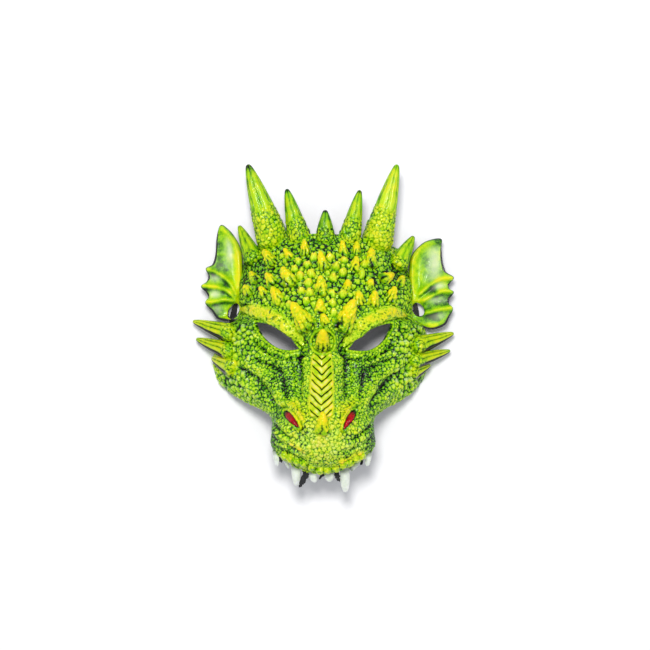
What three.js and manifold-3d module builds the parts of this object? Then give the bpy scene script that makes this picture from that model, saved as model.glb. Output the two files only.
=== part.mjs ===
// Dragon half-mask, millimetres, +Z up.
// The mask lies on its back: +X is the viewer's right, +Y runs from the teeth to the crown horns,
// and +Z comes out of the face. The origin is the bottom centre of the whole mask.

import * as THREE from "three";
import { mergeVertices } from "three/addons/utils/BufferGeometryUtils.js";
import Module from "manifold-3d";

const wasm = await Module();
wasm.setup();

// ---------- driving dimensions ----------

const WALL = 4.5; // foam thickness of the face
const GAP = 0.35; // clearance between bonded neighbours
const HALF_WIDTH = 117; // to the tips of the cheek spikes
const TOP_Y = 145; // tips of the tall crown horns
const BOTTOM_Y = -145; // tip of the longer fang

// Face shell: one row per station along the side edge. Every column gives one edge or crest value.
const ROWS = [-108, -105, -100, -94, -88, -82, -76, -70, -64, -56, -46, -34, -22, -10,
  -3, 2, 8, 16, 24, 32, 40, 47, 50, 56, 62, 67, 72];
const HALF_WIDTHS = [[-108, 44], [-100, 46.5], [-92, 45.5], [-82, 45], [-76, 49], [-70, 61],
  [-64, 73], [-56, 83], [-44, 91], [-28, 95], [-10, 93.5], [2, 89], [9, 79], [17, 77.7],
  [36, 78], [55, 75], [72, 69]];
const CREST_HEIGHTS = [[-108, 62], [-100, 84], [-90, 95], [-78, 98], [-65, 95], [-50, 90],
  [-30, 84], [-8, 81], [5, 84], [20, 81], [40, 73], [60, 60], [72, 50]];
const RIM_HEIGHTS = [[-108, 52], [-92, 45], [-82, 40], [-76, 34], [-70, 26], [-64, 16],
  [-56, 6], [-46, 0], [-10, 0], [-3, 6], [2, 11], [8, 13], [40, 13], [47, 3], [50, 0],
  [62, 0], [72, 4]];
const ROUNDNESS = [[-108, 0.6], [-90, 0.62], [-78, 0.78], [-66, 1.3], [-45, 1.45],
  [-20, 1.35], [10, 1.15], [40, 1.05], [72, 1]];
const ROW_BOWS = [[-108, -20.5], [-95, -18], [-60, 0], [30, 0], [72, 12]];
const SIDE_SHIFTS = [[-40, 0], [0, 1], [17, 2.7], [50, 2], [72, 0.5]];
const ROW_BOW_POWER = 1.9;
const HALF_COLUMNS = 10;
const COLUMN_CROWDING = 1.6; // draws the columns together towards the side edges

// Soft rises and hollows of the face: centre, spread along and across, turn, height.
const FACE_MODELLING = [
  { x: 41, y: -9, along: 24, across: 13, turn: 0.35, height: -12 }, // eye sockets
  { x: 21, y: -42, along: 8, across: 26, turn: 0, height: -9 }, // hollows beside the nose
  { x: 27, y: -78, along: 9, across: 12, turn: 0, height: 5 }, // nostril swellings
  { x: 66, y: -22, along: 18, across: 9, turn: 0.9, height: 4 }, // cheekbones
];

const EYE_LEFT = [[-60.5, 5], [-52, 5], [-41, 2], [-31, -5], [-23, -15], [-21, -18], [-30, -19.5],
  [-40, -17.5], [-49, -12], [-56, -4.5]];
const EYE_RIGHT = [[61.5, 4], [52, 3.5], [41, -1], [31, -7.5], [24, -15.5], [22, -18.5],
  [32, -20], [42, -19], [51, -14], [57.5, -6]];

const STRAP_HOLE_LEFT = { x: -80.4, y: 16, half_length: 7.2, half_width: 4.4, turn: 1.1 };
const STRAP_HOLE_RIGHT = { x: 86, y: 17.2, half_length: 6.6, half_width: 4.6, turn: -0.96 };

const FIN_THICKNESS = 3;
const FIN_BASE_Z = 13.5;
const FIN_RISE = 0.22; // how fast the fin lifts away from the face
const FIN_LEFT = [[-92.3, 91.4], [-87.6, 90.6], [-80.8, 83.7], [-74.9, 73], [-70, 62],
  [-70, 12], [-80, 7], [-94.8, 8.6], [-102, 18.8], [-105, 23.9], [-102.5, 29], [-104.6, 33.5],
  [-108.4, 38.3], [-102, 47.5], [-103.8, 53.6], [-97.8, 58.3], [-95.3, 66.7], [-94.4, 83.7]];
const FIN_RIGHT = [[105.6, 79.4], [94.2, 77.5], [86.6, 72.2], [80.2, 65.4], [74, 58], [74, 12],
  [84, 6], [96, 0], [108.6, 3.2], [113.9, 12.3], [115.8, 18.7], [112.5, 23.5], [116.2, 32.8],
  [112, 37.5], [116.2, 44.9], [110.1, 51.7], [106.3, 63], [105.6, 73.7]];

// Horns: where the root sits, where the tip is, width at the root and how deep it is sunk.
const CROWN_HORNS = {
  crown_horn_outer_left: { root: [-43, 74], tip: [-67, TOP_Y, 43], width: 29, sink: 9 },
  crown_horn_inner_left: { root: [-20, 76], tip: [-32, 123, 46], width: 22, sink: 8 },
  crown_horn_centre: { root: [2.5, 76], tip: [2, 104, 52], width: 21, sink: 8 },
  crown_horn_inner_right: { root: [22.5, 76], tip: [32.5, 122, 46], width: 20, sink: 8 },
  crown_horn_outer_right: { root: [46, 71], tip: [64, TOP_Y, 43], width: 29, sink: 9 },
};
const TEMPLE_HORNS = {
  temple_horn_left: { root: [-61, 62], tip: [-74.5, 91, 22], width: 17, sink: 4 },
  temple_horn_right: { root: [66, 56], tip: [80.5, 81.5, 22], width: 18, sink: 4 },
};
const CHEEK_SPIKES = {
  cheek_spike_upper_left: { root: [-86, -3], tip: [-HALF_WIDTH, 6.5, 13], width: 15, sink: 8 },
  cheek_spike_middle_left: { root: [-87, -18], tip: [-115, -8.8, 11], width: 14, sink: 8 },
  cheek_spike_lower_left: { root: [-86, -29], tip: [-99.5, -25.5, 12], width: 11, sink: 6 },
  cheek_spike_upper_right: { root: [88, -13], tip: [HALF_WIDTH, -4.3, 13], width: 14, sink: 8 },
  cheek_spike_middle_right: { root: [86, -27], tip: [115, -20, 11], width: 12, sink: 8 },
  cheek_spike_lower_right: { root: [83, -38], tip: [96.5, -34, 12], width: 9, sink: 6 },
};
const HORN_FLATTENING = 0.55; // how much of the front depth the flat back keeps

// Forehead spikes from the crown down to the brow: tip, root, width at the root.
const FOREHEAD_SPIKES = [
  { tip: [-16.9, 79.3], root: [-15.2, 67], width: 7.5 },
  { tip: [16.8, 78.3], root: [18.3, 66], width: 7 },
  { tip: [30.2, 77.4], root: [29.4, 67], width: 7 },
  { tip: [42.8, 71.6], root: [42.3, 57], width: 9 },
  { tip: [-35.1, 71.1], root: [-29.5, 63.5], width: 6 },
  { tip: [-53.4, 70.2], root: [-44.5, 58], width: 9 },
  { tip: [-2.9, 68.7], root: [0.6, 55], width: 8 },
  { tip: [29.8, 63.9], root: [27.4, 53], width: 8 },
  { tip: [-36.5, 54.3], root: [-28.2, 40.5], width: 11 },
  { tip: [-50.6, 49.5], root: [-44.2, 40], width: 8.5 },
  { tip: [-64.9, 50.5], root: [-59.3, 42], width: 8 },
  { tip: [-2, 46.6], root: [-1.6, 33], width: 10 },
  { tip: [22.1, 43.2], root: [21.6, 36], width: 8 },
  { tip: [43.7, 43.7], root: [41, 38.2], width: 7 },
  { tip: [63, 48.5], root: [53, 43], width: 9 },
  { tip: [71.5, 47.5], root: [67.6, 38], width: 7.5 },
  { tip: [-45.2, 37], root: [-38.5, 25], width: 10 },
  { tip: [-55.8, 37.4], root: [-52, 30.5], width: 7.5 },
  { tip: [-70.5, 38.9], root: [-65, 31], width: 8.5 },
  { tip: [30.8, 33.6], root: [31.7, 24.5], width: 8.5 },
  { tip: [45.7, 33.6], root: [44, 22.8], width: 9.5 },
  { tip: [64, 37.4], root: [59.3, 26.5], width: 9.5 },
  { tip: [-2.4, 26.3], root: [-2.4, 16.5], width: 9 },
  { tip: [-0.5, 13], root: [1.8, 6.5], width: 7.5 },
];
const BROW_SPIKES = {
  brow_spike_left: { tip: [-27.9, 23], root: [-15.5, 5], width: 15 },
  brow_spike_right: { tip: [27.9, 25.5], root: [18.2, 5], width: 16 },
};
const SPIKE_SINK = 2;
const SPIKE_LIFT = 0.55; // how high a spike's tip stands over the face, as a share of its length

const BROW_RIDGE_RADIUS = 5.6;
const BROW_RIDGES = {
  brow_ridge_left: [[-73, 17], [-62, 16], [-48, 12], [-34, 4], [-23, -6], [-17, -15]],
  brow_ridge_right: [[74, 12], [62, 14], [48, 11], [35, 3], [24, -7], [18, -16]],
};

const BRIDGE_PLATE = [[-10.5, -24], [-4, -20.5], [4, -20.5], [10, -24], [9.5, -40], [11.5, -66],
  [8, -76], [-11, -76], [-14, -66], [-10.5, -40]];
const BRIDGE_PLATE_THICKNESS = 3;

// The nose horn stands on a round collar and leans towards the crown.
const NOSE_HORN = { root: [-0.3, -13], tip: [0, -0.8], rise: 19, width: 11.5 };
const NOSE_TIP_HORN = { tip: [0, -72], root: [-0.5, -86], width: 10 };

const NOSTRILS = {
  nostril_left: { from: [-32, -72.5], to: [-21.5, -86.5], half_width: 4 },
  nostril_right: { from: [28, -73], to: [19.5, -86.5], half_width: 4 },
};
const NOSTRIL_THICKNESS = 1.6;

// Teeth: x of the root, how far down the tip reaches, width, and how far the tip drops back.
const TEETH = {
  fang_left: { x: -23.6, tip: [-23.4, -139], width: 7.2, drop: 5 },
  fang_right: { x: 19, tip: [19.8, BOTTOM_Y], width: 7.4, drop: 6 },
  incisor_left: { x: -9.2, tip: [-7, -135.8], width: 7.6, drop: 2 },
  incisor_right: { x: 5.4, tip: [5.4, -135], width: 7.8, drop: 2 },
  side_tooth_outer_left: { x: -39.6, tip: [-40.5, -121.3], width: 7, drop: 3 },
  side_tooth_inner_left: { x: -31, tip: [-30, -123.6], width: 5.4, drop: 2 },
  side_tooth_inner_right: { x: 28, tip: [28.5, -124.4], width: 8, drop: 2 },
  side_tooth_outer_right: { x: 37.6, tip: [39, -121.6], width: 8, drop: 3 },
};
const TOOTH_ROOT_INSET = 5; // how far behind the lip edge a tooth's root starts
const TOOTH_SINK = 2.2; // below the outer surface of the lip

// Head strap: a flat band on edge, laid in a U behind the forehead.
const STRAP_HEIGHT = 8;
const STRAP_THICKNESS = 1.6;
const STRAP_STEPS = 40;
const STRAP_ROUTE = [[-85, -12], [-83.6, 0], [-81.4, 12], [-78.6, 23], [-74, 34], [-64, 47], [-45, 55],
  [-22, 59], [0, 60], [23, 59], [46, 55], [66, 47], [77.5, 34], [83.2, 23], [84.6, 12], [85, 0], [85, -12]];
const ANCHOR_RADIUS = 5.5;
const ANCHOR_Z = 6.2;

const COLOURS = {
  body: 0x6eaa0f, horn: 0x8cc21a, tip: 0xe6dc14, brow: 0xb4d21e, fin: 0xa6c84a,
  tooth: 0xe4ead8, nostril: 0xc81428, strap: 0x201c1e, anchor: 0x2a2628,
};

// ---------- curves and the face surface ----------

// Monotone cubic through the given [position, value] pairs, held flat past both ends.
function smoothTable(pairs) {
  const slopes = pairs.slice(1).map(([x, y], i) => (y - pairs[i][1]) / (x - pairs[i][0]));
  const tangents = pairs.map((_, i) => {
    if (i === 0) return slopes[0];
    if (i === pairs.length - 1) return slopes[i - 1];
    const [a, b] = [slopes[i - 1], slopes[i]];
    return a * b <= 0 ? 0 : (2 * a * b) / (a + b);
  });
  return (position) => {
    const first = pairs[0];
    const last = pairs[pairs.length - 1];
    const x = Math.min(Math.max(position, first[0]), last[0]);
    let i = 0;
    while (i < pairs.length - 2 && x > pairs[i + 1][0]) i += 1;
    const step = pairs[i + 1][0] - pairs[i][0];
    const t = (x - pairs[i][0]) / step;
    const t2 = t * t;
    const t3 = t2 * t;
    return (2 * t3 - 3 * t2 + 1) * pairs[i][1] + (t3 - 2 * t2 + t) * step * tangents[i]
      + (3 * t2 - 2 * t3) * pairs[i + 1][1] + (t3 - t2) * step * tangents[i + 1];
  };
}

const halfWidthAt = smoothTable(HALF_WIDTHS);
const crestAt = smoothTable(CREST_HEIGHTS);
const rimAt = smoothTable(RIM_HEIGHTS);
const roundnessAt = smoothTable(ROUNDNESS);
const bowAt = smoothTable(ROW_BOWS);
const shiftAt = smoothTable(SIDE_SHIFTS);

function modellingAt(x, y) {
  return FACE_MODELLING.reduce((sum, f) => {
    const dx = Math.abs(x) - f.x;
    const dy = y - f.y;
    const along = (dx * Math.cos(f.turn) + dy * Math.sin(f.turn)) / f.along;
    const across = (dy * Math.cos(f.turn) - dx * Math.sin(f.turn)) / f.across;
    return sum + f.height * Math.exp(-(along * along + across * across));
  }, 0);
}

// A point of the face: row along the side edge, side from -1 to 1, inset below the outer surface.
function facePoint(row, side, inset = 0) {
  const s = Math.abs(side);
  const rim = rimAt(row);
  const power = roundnessAt(row);
  const rise = (1 - s ** (2 / power)) ** (power / 2);
  const x = side * (halfWidthAt(row) - inset) + shiftAt(row);
  const frontInset = inset * 0.65 * THREE.MathUtils.smoothstep(-row, 85, 95);
  const y = row + bowAt(row) * (1 - s ** ROW_BOW_POWER) + frontInset;
  const fade = THREE.MathUtils.smoothstep(1 - s, 0, 0.25);
  const z = rim + (crestAt(row) - inset - rim) * rise + modellingAt(x, y) * fade;
  return new THREE.Vector3(x, y, z);
}

function faceHeight(x, y) {
  let row = y;
  let side = 0;
  for (let i = 0; i < 40; i += 1) {
    side = THREE.MathUtils.clamp((x - shiftAt(row)) / halfWidthAt(row), -1, 1);
    const target = y - bowAt(row) * (1 - Math.abs(side) ** ROW_BOW_POWER);
    row = THREE.MathUtils.clamp((row + target) / 2, ROWS[0], ROWS[ROWS.length - 1]);
  }
  return facePoint(row, side).z;
}

function onFace([x, y], lift = 0) {
  return new THREE.Vector3(x, y, faceHeight(x, y) + lift);
}

// ---------- solids ----------

function toSolid(geometry) {
  const plain = new THREE.BufferGeometry();
  plain.setAttribute("position", geometry.getAttribute("position").clone());
  if (geometry.index) plain.setIndex(geometry.index.clone());
  const merged = mergeVertices(plain, 1e-4);
  const index = merged.index.array;
  const kept = [];
  for (let i = 0; i < index.length; i += 3) {
    const [a, b, c] = [index[i], index[i + 1], index[i + 2]];
    if (a !== b && b !== c && c !== a) kept.push(a, b, c);
  }
  const mesh = new wasm.Mesh({
    numProp: 3,
    vertProperties: Float32Array.from(merged.getAttribute("position").array),
    triVerts: Uint32Array.from(kept),
  });
  return new wasm.Manifold(mesh);
}

function toGeometry(solid) {
  const { vertProperties, triVerts } = solid.getMesh();
  const geometry = new THREE.BufferGeometry();
  geometry.setAttribute("position", new THREE.BufferAttribute(Float32Array.from(vertProperties), 3));
  geometry.setIndex(Array.from(triVerts));
  geometry.computeVertexNormals();
  return geometry;
}

const COLUMNS = Array.from({ length: 2 * HALF_COLUMNS + 1 }, (_, i) => {
  const u = i / HALF_COLUMNS - 1;
  return Math.sign(u) * (1 - (1 - Math.abs(u)) ** COLUMN_CROWDING);
});

// A closed body between two grids of points over the same rows and columns.
function gridBody(topPoints, bottomPoints) {
  const rows = topPoints.length;
  const columns = topPoints[0].length;
  const positions = [...topPoints.flat(), ...bottomPoints.flat()].flatMap((p) => p.toArray());
  const top = (i, j) => i * columns + j;
  const bottom = (i, j) => rows * columns + i * columns + j;
  const index = [];
  const quad = (a, b, c, d) => index.push(a, b, c, a, c, d);
  for (let i = 0; i < rows - 1; i += 1) {
    for (let j = 0; j < columns - 1; j += 1) {
      quad(top(i, j), top(i, j + 1), top(i + 1, j + 1), top(i + 1, j));
      quad(bottom(i, j), bottom(i + 1, j), bottom(i + 1, j + 1), bottom(i, j + 1));
    }
  }
  for (let j = 0; j < columns - 1; j += 1) {
    quad(bottom(0, j), bottom(0, j + 1), top(0, j + 1), top(0, j));
    quad(top(rows - 1, j), top(rows - 1, j + 1), bottom(rows - 1, j + 1), bottom(rows - 1, j));
  }
  for (let i = 0; i < rows - 1; i += 1) {
    quad(top(i, 0), top(i + 1, 0), bottom(i + 1, 0), bottom(i, 0));
    quad(bottom(i, columns - 1), bottom(i + 1, columns - 1), top(i + 1, columns - 1), top(i, columns - 1));
  }
  const geometry = new THREE.BufferGeometry();
  geometry.setAttribute("position", new THREE.Float32BufferAttribute(positions, 3));
  geometry.setIndex(index);
  return geometry;
}

// Everything under the outer surface raised by the given margin, down to well below the mask.
function underFace(margin) {
  const floor = -60;
  const last = ROWS.length - 1;
  const top = ROWS.map((row, i) => COLUMNS.map((side) => {
    const p = facePoint(row, side, -margin);
    if (i === 0) p.y -= margin;
    if (i === last) p.y += margin;
    return p;
  }));
  const bottom = top.map((points) => points.map((p) => new THREE.Vector3(p.x, p.y, floor)));
  return toSolid(gridBody(top, bottom));
}

function prism(outline, low, high) {
  const shape = new THREE.Shape(outline.map(([x, y]) => new THREE.Vector2(x, y)));
  const geometry = new THREE.ExtrudeGeometry(shape, { depth: high - low, bevelEnabled: false });
  return geometry.translate(0, 0, low);
}

function ellipseOutline({ x, y, half_length, half_width, turn }, points = 14) {
  const curve = new THREE.EllipseCurve(x, y, half_length, half_width, 0, 2 * Math.PI, false, turn);
  return curve.getPoints(points).slice(0, points).map((p) => [p.x, p.y]);
}

const clearance = underFace(GAP);

// A tapering horn: round in front, flatter behind, from a root below the surface to its tip.
function hornGeometry(root, tip, width, sides, profileShape, flattening = HORN_FLATTENING) {
  const axis = tip.clone().sub(root);
  const length = axis.length();
  const profile = profileShape.map(([r, t]) => new THREE.Vector2((r * width) / 2, t * length));
  const geometry = new THREE.LatheGeometry(profile, sides);
  const along = axis.normalize();
  const across = new THREE.Vector3().crossVectors(along, new THREE.Vector3(0, 0, 1)).normalize();
  const front = new THREE.Vector3().crossVectors(across, along);
  const place = geometry.getAttribute("position");
  const p = new THREE.Vector3();
  for (let i = 0; i < place.count; i += 1) {
    p.fromBufferAttribute(place, i);
    if (p.z < 0) p.z *= flattening;
    p.applyMatrix4(new THREE.Matrix4().makeBasis(across, along, front)).add(root);
    place.setXYZ(i, p.x, p.y, p.z);
  }
  return geometry;
}

const HORN_PROFILE = [[0, 0], [1, 0], [0.86, 0.2], [0.62, 0.45], [0.38, 0.7], [0.16, 0.92], [0, 1]];
const SPIKE_PROFILE = [[0, 0], [1, 0], [0.84, 0.45], [0.46, 0.85], [0, 1]];
const TOOTH_PROFILE = [[0, 0], [1, 0], [0.92, 0.45], [0.55, 0.8], [0, 1]];
const NOSE_HORN_PROFILE = [[0, 0], [1.9, 0], [1.9, 0.22], [1.5, 0.3], [1, 0.32], [0.8, 0.6],
  [0.42, 0.88], [0, 1]];

function cutByFace(geometry) {
  return toGeometry(toSolid(geometry).subtract(clearance));
}

// ---------- the pieces ----------

function faceShell() {
  const outer = ROWS.map((row) => COLUMNS.map((side) => facePoint(row, side)));
  const inner = ROWS.map((row) => COLUMNS.map((side) => facePoint(row, side, WALL)));
  let solid = toSolid(gridBody(outer, inner));
  for (const eye of [EYE_LEFT, EYE_RIGHT]) solid = solid.subtract(toSolid(prism(eye, -5, 120)));
  return toGeometry(solid);
}

function horn({ root, tip, width, sink }) {
  return cutByFace(hornGeometry(onFace(root, -sink), new THREE.Vector3(...tip), width, 10, HORN_PROFILE));
}

function spikeGeometry({ tip, root, width }, margin = 0) {
  const length = Math.hypot(tip[0] - root[0], tip[1] - root[1]);
  const foot = onFace(root, -SPIKE_SINK);
  const point = onFace(tip, length * SPIKE_LIFT);
  return hornGeometry(foot, point, width + 2 * margin, 8, SPIKE_PROFILE, 1);
}

function spike(spec) {
  return cutByFace(spikeGeometry(spec));
}

function earFin(outline, hole) {
  const geometry = prism(outline, FIN_BASE_Z - FIN_THICKNESS / 2, FIN_BASE_Z + FIN_THICKNESS / 2);
  const body = toSolid(geometry).subtract(toSolid(prism(ellipseOutline(hole), -5, 60)));
  const fin = toGeometry(body.subtract(clearance));
  const place = fin.getAttribute("position");
  const inner = halfWidthAt(hole.y);
  for (let i = 0; i < place.count; i += 1) {
    const out = Math.max(Math.abs(place.getX(i)) - inner, 0);
    place.setZ(i, place.getZ(i) + FIN_RISE * out);
  }
  return fin;
}

function browRidge(points) {
  const path = new THREE.CatmullRomCurve3(points.map((p) => onFace(p, 1)));
  const round = new THREE.EllipseCurve(0, 0, BROW_RIDGE_RADIUS, BROW_RIDGE_RADIUS);
  const section = new THREE.Shape(round.getPoints(9).slice(0, 9));
  return cutByFace(new THREE.ExtrudeGeometry(section, { steps: 14, extrudePath: path }));
}

// A plate of even thickness that follows the face inside the given outline.
function facePlate(outline, thickness) {
  const over = underFace(GAP + thickness);
  return toSolid(prism(outline, 20, 160)).intersect(over).subtract(clearance);
}

function noseBridgePlate() {
  const horns = toSolid(noseHornGeometry(GAP)).add(toSolid(spikeGeometry(NOSE_TIP_HORN, GAP)));
  return toGeometry(facePlate(BRIDGE_PLATE, BRIDGE_PLATE_THICKNESS).subtract(horns));
}

function nostril({ from, to, half_width }) {
  const [dx, dy] = [to[0] - from[0], to[1] - from[1]];
  const outline = ellipseOutline({
    x: (from[0] + to[0]) / 2,
    y: (from[1] + to[1]) / 2,
    half_length: Math.hypot(dx, dy) / 2,
    half_width,
    turn: Math.atan2(dy, dx),
  });
  return toGeometry(facePlate(outline, NOSTRIL_THICKNESS));
}

function noseHornGeometry(margin = 0) {
  const { root, tip, rise, width } = NOSE_HORN;
  const foot = onFace(root, -3);
  const point = new THREE.Vector3(tip[0], tip[1], foot.z + rise);
  return hornGeometry(foot, point, width + 2 * margin, 12, NOSE_HORN_PROFILE, 1);
}

// The lip edge at a given x: the front rim of the shell.
function lipEdge(x) {
  const row = ROWS[0];
  const side = THREE.MathUtils.clamp((x - shiftAt(row)) / halfWidthAt(row), -1, 1);
  return facePoint(row, side);
}

function tooth({ x, tip, width, drop }) {
  const edge = lipEdge(x);
  const root = new THREE.Vector3(x, edge.y + TOOTH_ROOT_INSET, edge.z - TOOTH_SINK);
  const end = new THREE.Vector3(tip[0], tip[1], edge.z - TOOTH_SINK - drop);
  return cutByFace(hornGeometry(root, end, width, 9, TOOTH_PROFILE, 0.8));
}

function headStrap() {
  const points = STRAP_ROUTE.map(([x, y]) => new THREE.Vector3(x, y, 0));
  const path = new THREE.CatmullRomCurve3(points);
  const sides = [1, -1].map((side) => Array.from({ length: STRAP_STEPS + 1 }, (_, i) => {
    const at = path.getPointAt(i / STRAP_STEPS);
    const tangent = path.getTangentAt(i / STRAP_STEPS);
    const half = (side * STRAP_THICKNESS) / 2;
    return [at.x - tangent.y * half, at.y + tangent.x * half];
  }));
  return prism([...sides[0], ...sides[1].reverse()], 0, STRAP_HEIGHT);
}

// A round pad bonded inside the cheek wall that holds one end of the strap.
function strapAnchor(side) {
  const [x, y] = side < 0 ? STRAP_ROUTE[0] : STRAP_ROUTE[STRAP_ROUTE.length - 1];
  const inner = Math.abs(x) + STRAP_THICKNESS / 2 + GAP;
  const block = new THREE.CylinderGeometry(ANCHOR_RADIUS, ANCHOR_RADIUS, 12, 16);
  block.rotateZ(Math.PI / 2).translate(side * (inner + 6), y, ANCHOR_Z);
  const inside = ROWS.map((row) => COLUMNS.map((s) => facePoint(row, s, WALL + GAP)));
  const below = inside.map((points) => points.map((p) => new THREE.Vector3(p.x, p.y, -60)));
  return toGeometry(toSolid(block).intersect(toSolid(gridBody(inside, below))));
}

// ---------- assembly ----------

const group = new THREE.Group();

function add(name, geometry, colour, roughness = 0.45) {
  const material = new THREE.MeshStandardMaterial({ color: colour, roughness, metalness: 0 });
  const mesh = new THREE.Mesh(geometry, material);
  mesh.name = name;
  group.add(mesh);
}

add("face_shell", faceShell(), COLOURS.body);
for (const [name, spec] of Object.entries(CROWN_HORNS)) add(name, horn(spec), COLOURS.horn);
for (const [name, spec] of Object.entries(TEMPLE_HORNS)) add(name, horn(spec), COLOURS.horn);
add("ear_fin_left", earFin(FIN_LEFT, STRAP_HOLE_LEFT), COLOURS.fin);
add("ear_fin_right", earFin(FIN_RIGHT, STRAP_HOLE_RIGHT), COLOURS.fin);
for (const [name, spec] of Object.entries(CHEEK_SPIKES)) add(name, horn(spec), COLOURS.horn);
for (const [name, points] of Object.entries(BROW_RIDGES)) add(name, browRidge(points), COLOURS.brow);
for (const [name, spec] of Object.entries(BROW_SPIKES)) add(name, spike(spec), COLOURS.tip);
FOREHEAD_SPIKES.forEach((spec, i) => {
  add(`forehead_spike_${String(i + 1).padStart(2, "0")}`, spike(spec), COLOURS.tip);
});
add("nose_bridge_plate", noseBridgePlate(), COLOURS.tip);
add("nose_horn", cutByFace(noseHornGeometry()), COLOURS.tip);
add("nose_tip_horn", spike(NOSE_TIP_HORN), COLOURS.tip);
for (const [name, spec] of Object.entries(NOSTRILS)) add(name, nostril(spec), COLOURS.nostril, 0.2);
for (const [name, spec] of Object.entries(TEETH)) add(name, tooth(spec), COLOURS.tooth, 0.35);
add("head_strap", headStrap(), COLOURS.strap, 0.9);
add("strap_anchor_left", strapAnchor(-1), COLOURS.anchor, 0.8);
add("strap_anchor_right", strapAnchor(1), COLOURS.anchor, 0.8);

export default group;
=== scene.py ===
import math
from types import SimpleNamespace

import bpy
import numpy as np
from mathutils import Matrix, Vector, kdtree, noise


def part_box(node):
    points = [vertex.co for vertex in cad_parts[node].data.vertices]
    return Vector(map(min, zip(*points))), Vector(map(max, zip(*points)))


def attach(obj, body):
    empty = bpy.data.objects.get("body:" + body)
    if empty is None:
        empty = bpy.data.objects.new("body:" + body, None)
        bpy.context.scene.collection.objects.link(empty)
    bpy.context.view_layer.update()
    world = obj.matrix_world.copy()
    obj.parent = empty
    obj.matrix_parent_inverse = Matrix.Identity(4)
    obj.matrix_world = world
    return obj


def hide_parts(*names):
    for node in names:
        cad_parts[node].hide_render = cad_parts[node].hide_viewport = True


# Dragon half-mask, lying face up. Shapes are worked out in millimetres and turned into metres when a
# piece is made. The face follows the CAD part, with fuller cheeks and the fine sculpting added here.

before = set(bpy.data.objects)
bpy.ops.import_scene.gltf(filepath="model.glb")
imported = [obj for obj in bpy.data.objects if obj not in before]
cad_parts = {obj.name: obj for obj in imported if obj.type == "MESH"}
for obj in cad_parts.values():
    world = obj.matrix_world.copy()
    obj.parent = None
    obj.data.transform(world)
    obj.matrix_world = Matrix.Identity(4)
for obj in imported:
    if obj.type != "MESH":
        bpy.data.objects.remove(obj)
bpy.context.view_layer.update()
MM = 0.001
UP = np.array([0, 0, 1.0])

# ---------- shape of the face: position along the mask, value ----------

FIRST_ROW = -108
LAST_ROW = 72
WALL = 4.5
HALF_WIDTHS = [(-108, 44), (-100, 46.5), (-92, 45.5), (-82, 45), (-76, 48.5), (-70, 59.5),
               (-64, 72.5), (-56, 85), (-44, 94.5), (-28, 97.5), (-10, 94.5), (2, 89), (9, 79),
               (17, 77.7), (36, 78), (55, 74.5), (72, 67.5)]
CREST_HEIGHTS = [(-108, 62), (-100, 84), (-90, 95), (-78, 98), (-65, 95), (-50, 90), (-30, 84),
                 (-8, 81), (5, 84), (20, 81), (40, 73), (60, 60), (72, 50)]
RIM_HEIGHTS = [(-108, 52), (-92, 45), (-82, 40), (-76, 34), (-70, 26), (-64, 16), (-56, 6),
               (-46, 0), (-10, 0), (-3, 6), (2, 11), (8, 13), (40, 13), (47, 3), (50, 0),
               (62, 0), (72, 4)]
ROUNDNESS = [(-108, 0.6), (-90, 0.62), (-78, 0.78), (-66, 1.3), (-45, 1.45), (-20, 1.35),
             (10, 1.15), (40, 1.05), (72, 1)]
ROW_BOWS = [(-108, -20.5), (-95, -18), (-60, 0), (30, 0), (72, 12)]
SIDE_SHIFTS = [(-75, 0), (-60, -1.5), (-44, -2.6), (-28, -1.6), (0, 1), (17, 2.7), (50, 2), (72, 0.5)]
ROW_BOW_POWER = 1.9

# Soft rises and hollows: x, y, spread along, spread across, turn, height. Both sides alike.
FACE_MODELLING = [
    (41, -9, 24, 13, 0.35, -12),  # eye sockets
    (21, -42, 8, 26, 0, -9),  # hollows beside the nose
    (27, -78, 9, 12, 0, 5),  # nostril swellings
    (66, -22, 18, 9, 0.9, 4),  # cheekbones
]

EYES = {
    "left": [(-60.5, 5), (-52, 5), (-41, 2), (-31, -5), (-23, -15), (-21, -18), (-30, -19.5),
             (-40, -17.5), (-49, -12), (-56, -4.5)],
    "right": [(61.5, 4), (52, 3.5), (41, -1), (31, -7.5), (24, -15.5), (22, -18.5),
              (32, -20), (42, -19), (51, -14), (57.5, -6)],
}
BROWS = {
    "left": [(-73, 17), (-62, 16), (-48, 12), (-34, 4), (-23, -6), (-17, -15)],
    "right": [(74, 12), (62, 14), (48, 11), (35, 3), (24, -7), (18, -16)],
}
BROW_RADIUS = 5.9
BROW_LIFT = 0.6
BROW_SEEDS = {"left": 31, "right": 32}

# ---------- sculpted details ----------

# Round knobs between the forehead spikes: x, y.
KNOBS = [(-22, 58.5), (-13.5, 55), (-25, 52), (-20, 45), (-10, 47.5), (-13, 39), (-19, 32.5),
         (-12, 31), (-15, 23.5), (19, 59.5), (11.5, 54), (9, 43.5), (17, 47.5), (8, 30),
         (17, 29), (8.5, 21.5), (9, 13), (34, 47), (-8, 62), (6, 62), (-29, 20), (36, 56)]
KNOB_RADIUS = 3.7
KNOB_TONE = 0.85
# The row of large scales along the lip: x, y.
LIP_SCALES = [(-33.5, -111), (-28.5, -113.5), (-23, -116), (-17, -119),
              (-10, -122), (-3, -123.5), (4, -123.5), (11, -122.5), (17.5, -119.5),
              (23.5, -116.5), (29, -114), (34, -111.5)]
LIP_SCALE_RADIUS = 4.0
LIP_SCALE_SINK = 1.5
LIP_SCALE_STRETCH = [0.92, 1.0, 1.35]
LIP_SEED = 41
SKIN_SEED = 11
HORN_SEED = 5

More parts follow.
